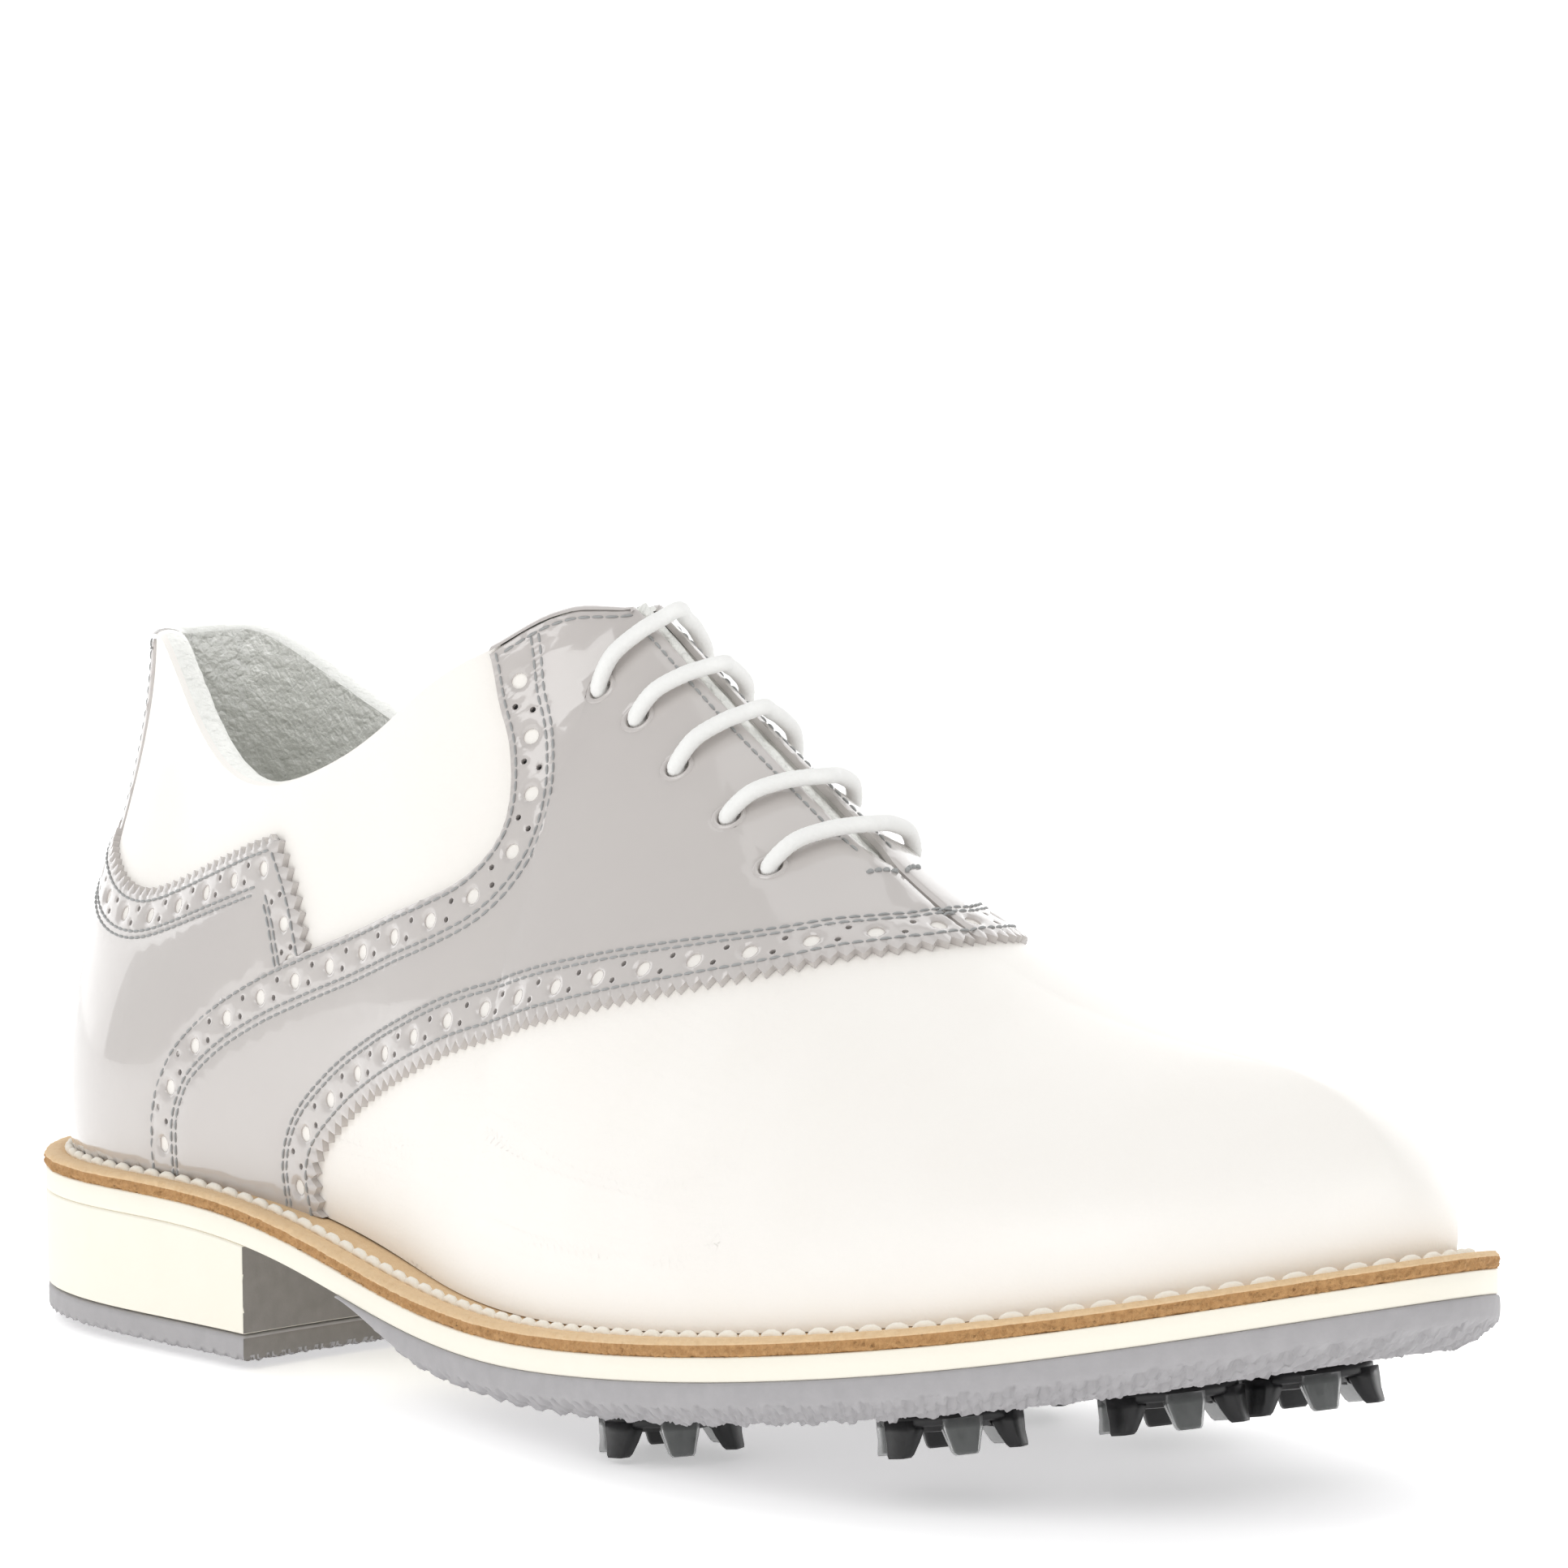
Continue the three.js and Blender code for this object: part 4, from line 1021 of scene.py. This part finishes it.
def make_outsole():
    """Upright walls, a toothed shoulder and a knurled tread, from the top down."""
    n = 1900
    walls = [
        (-6, OUTSOLE_HIGH), (-0.2, OUTSOLE_HIGH), (0.15, -3.7), (0.3, -4.1), (0.35, -5.2),
        (0.32, -6.3), (0.2, -6.9),
    ]
    rings = [ring3(toward_spine(outline_part(-6, n, False), f), OUTSOLE_HIGH) for f in (1.0, 0.5)]
    rings += [ring3(outline_part(d, n, False), h) for d, h in walls]
    for f in np.linspace(0, 1, 11):
        base = outline_part(0.05 - 7.05 * f, n, False)
        phase = tooth_phase(base, 3.3)
        one = np.clip(np.sin(phase + f * 9.0) * 2.5, -1, 1)
        two = np.clip(np.sin(phase * 0.5 - f * 9.0) * 2.5, -1, 1)
        depth = 0.62 * (0.35 + 0.65 * smoothstep(0, 0.1, f)) * (1 - 0.4 * smoothstep(0.8, 1, f))
        ring = ring3(base, -7.1 + (TREAD_LOW + 7.1) * math.sin(f * math.pi / 2) ** 1.05)
        ring[:, 2] += depth * (0.6 * one + 0.4 * two) + 0.16 * noise(ring, 1.2, 9)
        rings.append(ring)
    field = outline_part(-7, n, False)
    for f in np.linspace(0.06, 1.0, 42):
        ring = ring3(toward_spine(field, f), TREAD_LOW)
        ring[:, 2] += 0.35 * knurl(ring, 4.2) * (1 - smoothstep(0.9, 1.0, f))
        rings.append(ring)
    return loft("outsole", [skived(ring) for ring in rings])


LIFT_TOP = 5.4
HEEL_BOTTOM = 5.75
LIFT_MIDDLE = np.array([40.0, -0.5])


def heel_ring(d, n, z):
    """A ring of the heel moved out by d; the inner ring is hardly hollowed at the breast."""
    loop = outline_part(d, n, True, 0.5 if d == INNER else HOLLOW)
    return np.concatenate([loop, np.broadcast_to(z, len(loop))[:, None]], -1)


def make_heel():
    n = 700
    inner_high, high = (sole_z(heel_ring(d, n, 0)[:, 0]) + OUTSOLE_HIGH for d in (INNER, 0))
    rings = [heel_ring(INNER, n, inner_high)]
    for f in np.concatenate([[0.0, 0.012], np.linspace(0.03, 0.975, 14), [0.99, 1.0]]):
        edge_round = 0.35 if f in (0.0, 1.0) else 0.0
        rings.append(heel_ring(-0.2 * f - edge_round, n, high * (1 - f) + HEEL_BOTTOM * f))
    rings.append(heel_ring(INNER, n, HEEL_BOTTOM))
    return loft("heel_block", rings)


def make_lift():
    """The heel's top lift: upright walls, a toothed shoulder and a knurled tread."""
    n = 900
    walls = [(INNER, LIFT_TOP), (-0.7, LIFT_TOP), (-0.25, LIFT_TOP - 0.3)]
    walls += [(-0.2, z) for z in (4.6, 3.8, 3.0, 2.4)]
    rings = [heel_ring(d, n, z) for d, z in walls]
    for f in np.linspace(0, 1, 7):
        ring = heel_ring(-0.4 - 3.2 * f, n, 2.1 - 0.9 * f)
        teeth = np.clip(np.sin(tooth_phase(ring, 3.4) + 4 * f) * 2, -1, 1)
        ring[:, 2] += 0.35 * teeth + 0.1 * noise(ring, 1.5, 3)
        rings.append(ring)
    inner = outline_part(-3.6, n, True, HOLLOW)
    for f in np.linspace(0.04, 1.0, 34):
        loop = inner * (1 - f) + LIFT_MIDDLE * f
        height = 1.2 + 0.35 * knurl(loop, 4.4) * (1 - smoothstep(0.9, 1, f))
        rings.append(np.concatenate([loop, height[:, None]], -1))
    return loft("heel_top_lift", rings)


def make_sock():
    n = 500
    shape = [(-13, 5.6), (-11.2, 5.6), (-11.0, 5.9), (-11.0, 6.6), (-11.4, 6.9), (-13, 6.9)]
    rings = [ring3(outline_all(d, n), h) for d, h in shape]
    for f in (0.2, 0.4, 0.6, 0.8, 1.0):
        rings.append(ring3(toward_spine(outline_all(-13, n), f), 6.9 - 0.6 * f))
    return loft("sock_liner", rings)


# ---- cleats: heights are from the tread face, radii from the middle of the cleat ----
CLEATS = [(184, -33), (237, -26), (255, -1), (259, 21), (190, 24), (222, 30)]
CLEAT_HEIGHT = 6.45
LEGS = 6
PLATE_SHAPE = [
    (3.0, -0.5), (9.3, -0.5), (9.6, -0.8), (9.6, -1.9), (9.2, -2.3), (6.4, -2.5), (6.0, -3.2),
    (4.2, -3.4), (3.8, -2.7), (1.0, -2.6),
]
STUD_SHAPE = [(2.0, 3.0), (4.3, 3.0), (4.5, 2.7), (4.5, -1.0)]
LEG_TAPER = [(0.0, 1.0), (0.3, 0.97), (0.6, 0.82), (0.92, 0.66), (1.0, 0.56)]
LEG_PLAN = [(1, 0.78), (0.78, 1), (-0.78, 1), (-1, 0.78), (-1, -0.78), (-0.78, -1), (0.78, -1), (1, -0.78)]
LEG_DEEP, LEG_WIDE = 3.4, 5.6
LEG_REACH, LEG_LEAN = 8.4, 1.3
RIB = [
    (5.8, -0.7, -2.2), (5.8, 0.7, -2.2), (8.6, 0.8, -2.2), (8.6, -0.8, -2.2),
    (6.2, -0.4, -3.4), (6.2, 0.4, -3.4), (8.4, 0.6, -4.4), (8.4, -0.6, -4.4),
]


def at_cleat(points, x, y):
    """Points made about the tread face, set square to the sole at a cleat's centre."""
    slope = math.atan((sole_z(x + 4) - sole_z(x - 4)) / 8)
    c, s = math.cos(slope), math.sin(slope)
    px, py, pz = points.T
    return np.stack([px * c - pz * s + x, py + y, px * s + pz * c + sole_z(x) + TREAD_LOW], -1)


def swung(points, turn):
    """Points turned about the middle of the cleat."""
    c, s = math.cos(turn), math.sin(turn)
    x, y, z = np.array(points).T
    return np.stack([x * c - y * s, x * s + y * c, z], -1)


def turned(profile, sides):
    """Points of a turned solid from (radius, height) pairs."""
    w = np.linspace(0, 2 * math.pi, sides, endpoint=False)
    return np.concatenate([
        np.stack([r * np.cos(w), r * np.sin(w), np.full(sides, z)], -1) for r, z in profile
    ])


def leg_points():
    """One tapered cleat leg, flat sided with softened corners, leaning out."""
    top = -GAP - 1.0
    points = []
    for f, girth in LEG_TAPER:
        z = top + (-CLEAT_HEIGHT - top) * f
        out = LEG_REACH + LEG_LEAN * f * f
        points += [(a * LEG_DEEP * girth / 2 + out, b * LEG_WIDE * girth / 2, z) for a, b in LEG_PLAN]
    return points


def make_cleat(i, x, y):
    dark = Pile()
    pale = Pile()
    for profile in (PLATE_SHAPE, STUD_SHAPE):
        dark.add(at_cleat(turned(profile, 40), x, y), tube_faces(len(profile), 40))
    leg_faces = tube_faces(len(LEG_TAPER), len(LEG_PLAN))
    for n in range(LEGS):
        turn = 2 * math.pi * (n + 0.5) / LEGS
        (pale if n % 2 else dark).add(at_cleat(swung(leg_points(), turn), x, y), leg_faces)
        dark.add(at_cleat(swung(RIB, turn), x, y), tube_faces(2, 4))
    return dark.make("cleat_" + str(i)), pale.make("cleat_soft_legs_" + str(i))


# ---- materials ----
def linear(r, g, b):
    return [((c / 255 + 0.055) / 1.055) ** 2.4 if c > 10 else c / 255 / 12.92 for c in (r, g, b)] + [1.0]


WHITE = (1.0, 1.0, 1.0, 1.0)
# Each finish: two tones, roughness, the size of its clouds of tone, its bumps as (size, detail,
# depth) with no detail for cells, where its roughness varies as (size, low, high) or None, and
# other settings of the shader. Sizes and depths are in millimetres.
FINISHES = {
    "white_leather": (
        (253, 250, 245), (250, 246, 240), 0.42, 14.0, [(0.9, 0, 0.035), (0.35, 2, 0.02)],
        (3.0, 0.36, 0.5), {"Coat Weight": 0.12, "Coat Roughness": 0.3},
    ),
    "grey_patent": (
        (203, 198, 194), (197, 191, 188), 0.16, 20.0, [(7.0, 1, 0.10), (0.8, 2, 0.006)],
        (9.0, 0.12, 0.2), {"Coat Weight": 1.0, "Coat Roughness": 0.03},
    ),
    "lining": (
        (254, 254, 250), (238, 239, 234), 0.26, 2.0, [(2.2, 5, 0.9), (1.2, 0, 0.22)],
        (1.0, 0.28, 0.55), {"Metallic": 0.35},
    ),
    "cream_edge": (
        (249, 245, 232), (246, 241, 226), 0.45, 10.0, [(0.7, 3, 0.03), (5.0, 2, 0.06)],
        (2.0, 0.4, 0.55), {},
    ),
    "tan_leather": (
        (238, 210, 170), (222, 186, 140), 0.78, 1.3, [(0.5, 6, 0.22), (2.2, 3, 0.2)], None, {},
    ),
    "tan_cut": (
        (208, 164, 112), (164, 118, 70), 0.85, 0.9, [(0.45, 6, 0.3), (1.6, 3, 0.25)], None, {},
    ),
    "grey_rubber": (
        (178, 176, 178), (162, 160, 162), 0.62, 3.0, [(0.45, 4, 0.05), (3.0, 2, 0.05)],
        (1.4, 0.55, 0.72), {},
    ),
    "white_cord": (
        (252, 252, 250), (244, 244, 241), 0.8, 0.5, [(0.16, 3, 0.03)], None, {"Sheen Weight": 0.25},
    ),
    "grey_thread": (
        (172, 173, 172), (154, 156, 156), 0.7, 0.4, [(0.12, 3, 0.03)], None, {"Sheen Weight": 0.15},
    ),
    # painted shade: the dark grey of the discs set in the pinholes, standing in for the shadow inside them
    "pin_painted_shade": ((70, 70, 70), (52, 52, 53), 0.8, 0.4, [(0.12, 3, 0.03)], None, {}),
    "welt_thread": (
        (254, 250, 240), (246, 238, 222), 0.75, 0.6, [(0.2, 4, 0.05)], None, {"Sheen Weight": 0.2},
    ),
    # painted shade: a flat darker grey for the front faces of the heel block and top lift, standing in for
    # the shadow under the shoe
    "breast_painted_shade": (
        (140, 136, 132), (120, 116, 112), 0.7, 2.5, [(0.5, 4, 0.05)], (1.4, 0.6, 0.78), {},
    ),
    "black_plastic": ((22, 22, 24), (15, 15, 17), 0.34, 2.0, [(0.5, 3, 0.02)], (1.6, 0.28, 0.42), {}),
    "smoke_plastic": (
        (122, 124, 123), (104, 107, 106), 0.24, 2.0, [(0.8, 2, 0.02)], None,
        {"Transmission Weight": 0.35},
    ),
    "steel": (
        (170, 172, 174), (150, 152, 154), 0.34, 1.0, [(0.3, 3, 0.015)], (0.8, 0.26, 0.42),
        {"Metallic": 1.0},
    ),
    "cork": ((152, 118, 80), (112, 82, 52), 0.85, 1.1, [(1.4, 0, 0.3)], None, {}),
    "stiffener": ((205, 196, 165), (188, 178, 148), 0.8, 1.5, [(0.5, 4, 0.08)], None, {}),
    "clear_plastic": (
        (236, 238, 238), (228, 230, 230), 0.12, 2.0, [(1.2, 2, 0.02)], None,
        {"Transmission Weight": 0.6},
    ),
    "studio_floor": (
        (252, 252, 252), (250, 250, 250), 0.6, 300.0, [(3.0, 2, 0.02)], None,
        {"Emission Color": WHITE, "Emission Strength": 0.42},
    ),
    "studio_wall": (
        (252, 252, 252), (250, 250, 250), 0.6, 300.0, [(3.0, 2, 0.02)], None,
        {"Emission Color": WHITE, "Emission Strength": 0.75},
    ),
}


def make_finish(name, tone, other, rough, spread, bumps, shine, settings):
    """A procedural finish: two mixed tones, relief, and a roughness that may vary."""
    material = bpy.data.materials.new(name)
    material.use_nodes = True
    nodes = material.node_tree.nodes
    links = material.node_tree.links
    shader = nodes["Principled BSDF"]
    shader.inputs["Roughness"].default_value = rough
    for key, value in settings.items():
        shader.inputs[key].default_value = value
    place = nodes.new("ShaderNodeTexCoord")
    scale = nodes.new("ShaderNodeVectorMath")
    scale.operation = "SCALE"
    scale.inputs["Scale"].default_value = 1 / MM
    links.new(place.outputs["Object"], scale.inputs[0])

    def pattern(size, detail):
        """Noise, or cells where no detail is asked for."""
        node = nodes.new("ShaderNodeTexNoise" if detail else "ShaderNodeTexVoronoi")
        if detail:
            node.inputs["Detail"].default_value = detail
        else:
            node.feature = "DISTANCE_TO_EDGE"
        node.inputs["Scale"].default_value = 1.0 / size
        links.new(scale.outputs[0], node.inputs["Vector"])
        return node.outputs["Fac" if detail else "Distance"]

    mix = nodes.new("ShaderNodeMix")
    mix.data_type = "RGBA"
    mix.inputs[6].default_value = linear(*tone)
    mix.inputs[7].default_value = linear(*other)
    links.new(pattern(spread, 4), mix.inputs[0])
    links.new(mix.outputs[2], shader.inputs["Base Color"])
    normal = None
    for size, detail, depth in bumps:
        bump = nodes.new("ShaderNodeBump")
        bump.inputs["Distance"].default_value = depth * MM
        bump.inputs["Strength"].default_value = 1.0
        links.new(pattern(size, detail), bump.inputs["Height"])
        if normal:
            links.new(normal, bump.inputs["Normal"])
        normal = bump.outputs["Normal"]
    links.new(normal, shader.inputs["Normal"])
    if shine:
        size, low, high = shine
        spanned = nodes.new("ShaderNodeMapRange")
        spanned.inputs["To Min"].default_value = low
        spanned.inputs["To Max"].default_value = high
        links.new(pattern(size, 2), spanned.inputs["Value"])
        links.new(spanned.outputs[0], shader.inputs["Roughness"])
    return material


finishes = {name: make_finish(name, *row) for name, row in FINISHES.items()}


def put(obj, slot, nodes=(), body="shoe", finish=None):
    obj.data.materials.clear()
    obj.data.materials.append(finishes[finish or slot])
    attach(obj, body)
    if nodes:
        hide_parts(*nodes)
    return obj


def second_finish(obj, finish, faces):
    """A second finish on the faces of the given numbers."""
    obj.data.materials.append(finishes[finish])
    for face in faces:
        obj.data.polygons[face].material_index = 1


put(make_vamp(), "white_leather", ["vamp"])
for word in SIDES:
    put(make_quarter(word), "white_leather", ["quarter_" + word])
for piece, start, end, outer, slot_name in (
    ("collar_edge_lateral", 1.2, 7.2, LEATHER, "white_leather"),
    ("collar_edge_medial", -7.2, -1.2, LEATHER, "white_leather"),
    ("collar_edge_back", -1.2, 1.2, BACKSTAY_TOP, "grey_patent"),
    ("facing_top_lateral", 7.15, 8.04, OVERLAY_TOP, "grey_patent"),
    ("facing_top_medial", -8.04, -7.15, OVERLAY_TOP, "grey_patent"),
):
    roll, inner_faces = make_collar_roll(piece, start, end, outer)
    put(roll, slot_name)
    second_finish(roll, "lining", inner_faces)
put(make_lining(), "lining", ["quarter_lining"])
for word in SIDES:
    put(make_saddle(word), "grey_patent", ["saddle_" + word])
put(make_foxing(), "grey_patent", ["heel_foxing"])
put(make_backstay(), "grey_patent", ["backstay"])
put(make_tongue(), "lining", ["tongue"])
put(make_lace(), "white_cord", ["lace"])
for word, side in SIDES.items():
    for number, (eyelet_s, eyelet_v) in enumerate(EYELET_SPOTS, 1):
        lip = make_lip("eyelet_lip_" + word + "_" + str(number), (side * eyelet_s, eyelet_v))
        put(lip, "grey_patent")
welt, cut_edge = make_welt()
put(welt, "tan_leather", ["welt"])
second_finish(welt, "tan_cut", cut_edge)
put(make_welt_stitches(), "white_cord", ["welt_stitching"], finish="welt_thread")
put(make_midsole(), "cream_edge", ["midsole"])
put(make_outsole(), "grey_rubber", ["outsole"])
BREAST_X = (BREAST + SHIFT[0]) * MM
BREAST_REACH = 0.006
# The front faces of the heel block and top lift get a darker grey, painted shade standing in for the
# shadow under the shoe.
for piece, slot_name, node in (
    (make_heel(), "cream_edge", "heel_block"),
    (make_lift(), "grey_rubber", "heel_top_lift"),
):
    put(piece, slot_name, [node])
    polygons = [p for p in piece.data.polygons if abs(p.center.x - BREAST_X) < BREAST_REACH]
    second_finish(piece, "breast_painted_shade", [p.index for p in polygons if abs(p.normal.x) > 0.8])
put(make_sock(), "lining", ["sock_liner"])
for number, (cleat_x, cleat_y) in enumerate(CLEATS, 1):
    hard, soft = make_cleat(number, cleat_x, cleat_y)
    put(hard, "black_plastic", ["cleat_" + str(number)], "cleat_body_" + str(number))
    put(soft, "black_plastic", (), "cleat_body_" + str(number), "smoke_plastic")
put(underlay.make("brogue_underlay"), "white_leather")
# dark discs in the pinholes, painted shade
put(pinhole_shade.make("pinhole_painted_shade"), "grey_patent", finish="pin_painted_shade")
put(thread.make("upper_stitching"), "grey_patent", finish="grey_thread")

KEPT = {
    "heel_counter": "stiffener", "toe_puff": "stiffener", "insole_board": "stiffener",
    "shank": "steel", "cork_filler": "cork", "vamp_lining": "lining",
    "aglet_1": "clear_plastic", "aglet_2": "clear_plastic",
}
for number in range(1, 6):
    KEPT["heel_nail_" + str(number)] = "steel"
    KEPT["eyelet_lateral_" + str(number)] = "steel"
    KEPT["eyelet_medial_" + str(number)] = "steel"
for number in range(1, 7):
    KEPT["cleat_socket_" + str(number)] = "black_plastic"
for node, slot_name in KEPT.items():
    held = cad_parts[node]
    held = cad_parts[node]
    held.data.materials.clear()
    held.data.materials.append(finishes[slot_name])


# ---- studio ----
STUDIO_SIZE = 60.0
BACKDROP_AT = (-16.0, 13.0, 0.0)
BACKDROP_TURN = -39.8  # degrees about the vertical, which sets it square to the view


def plane(name, finish):
    half = STUDIO_SIZE / 2
    mesh = bpy.data.meshes.new(name)
    corners = [(-half, -half, 0), (half, -half, 0), (half, half, 0), (-half, half, 0)]
    mesh.from_pydata(corners, [], [(0, 1, 2, 3)])
    obj = bpy.data.objects.new(name, mesh)
    bpy.context.scene.collection.objects.link(obj)
    obj.data.materials.append(finishes[finish])
    return obj


plane("floor", "studio_floor")
backdrop = plane("backdrop", "studio_wall")
upright = Matrix.Rotation(math.radians(90), 4, "Y")
facing = Matrix.Rotation(math.radians(BACKDROP_TURN), 4, "Z")
backdrop.matrix_world = Matrix.Translation(BACKDROP_AT) @ facing @ upright


def softbox(name, place, aim, size, power):
    data = bpy.data.lights.new(name, "AREA")
    data.shape = "RECTANGLE"
    data.size, data.size_y = size
    data.energy = power
    lamp = bpy.data.objects.new(name, data)
    lamp.location = place
    lamp.rotation_euler = (Vector(aim) - Vector(place)).to_track_quat("-Z", "Y").to_euler()
    bpy.context.scene.collection.objects.link(lamp)


softbox("key", (0.2, -1.7, 1.5), (0, 0, 0.05), (1.3, 1.0), 9)
softbox("front", (1.9, 0.3, 1.1), (0.05, 0, 0.05), (0.9, 0.9), 3.5)
softbox("top", (-0.2, 0.3, 2.0), (0, 0, 0), (1.6, 1.2), 3.5)

world = bpy.data.worlds.new("studio")
world.use_nodes = True
backing = world.node_tree.nodes["Background"]
backing.inputs["Color"].default_value = (1.0, 1.0, 1.0, 1.0)
backing.inputs["Strength"].default_value = 0.62
bpy.context.scene.world = world
bpy.context.scene.view_settings.view_transform = "Standard"
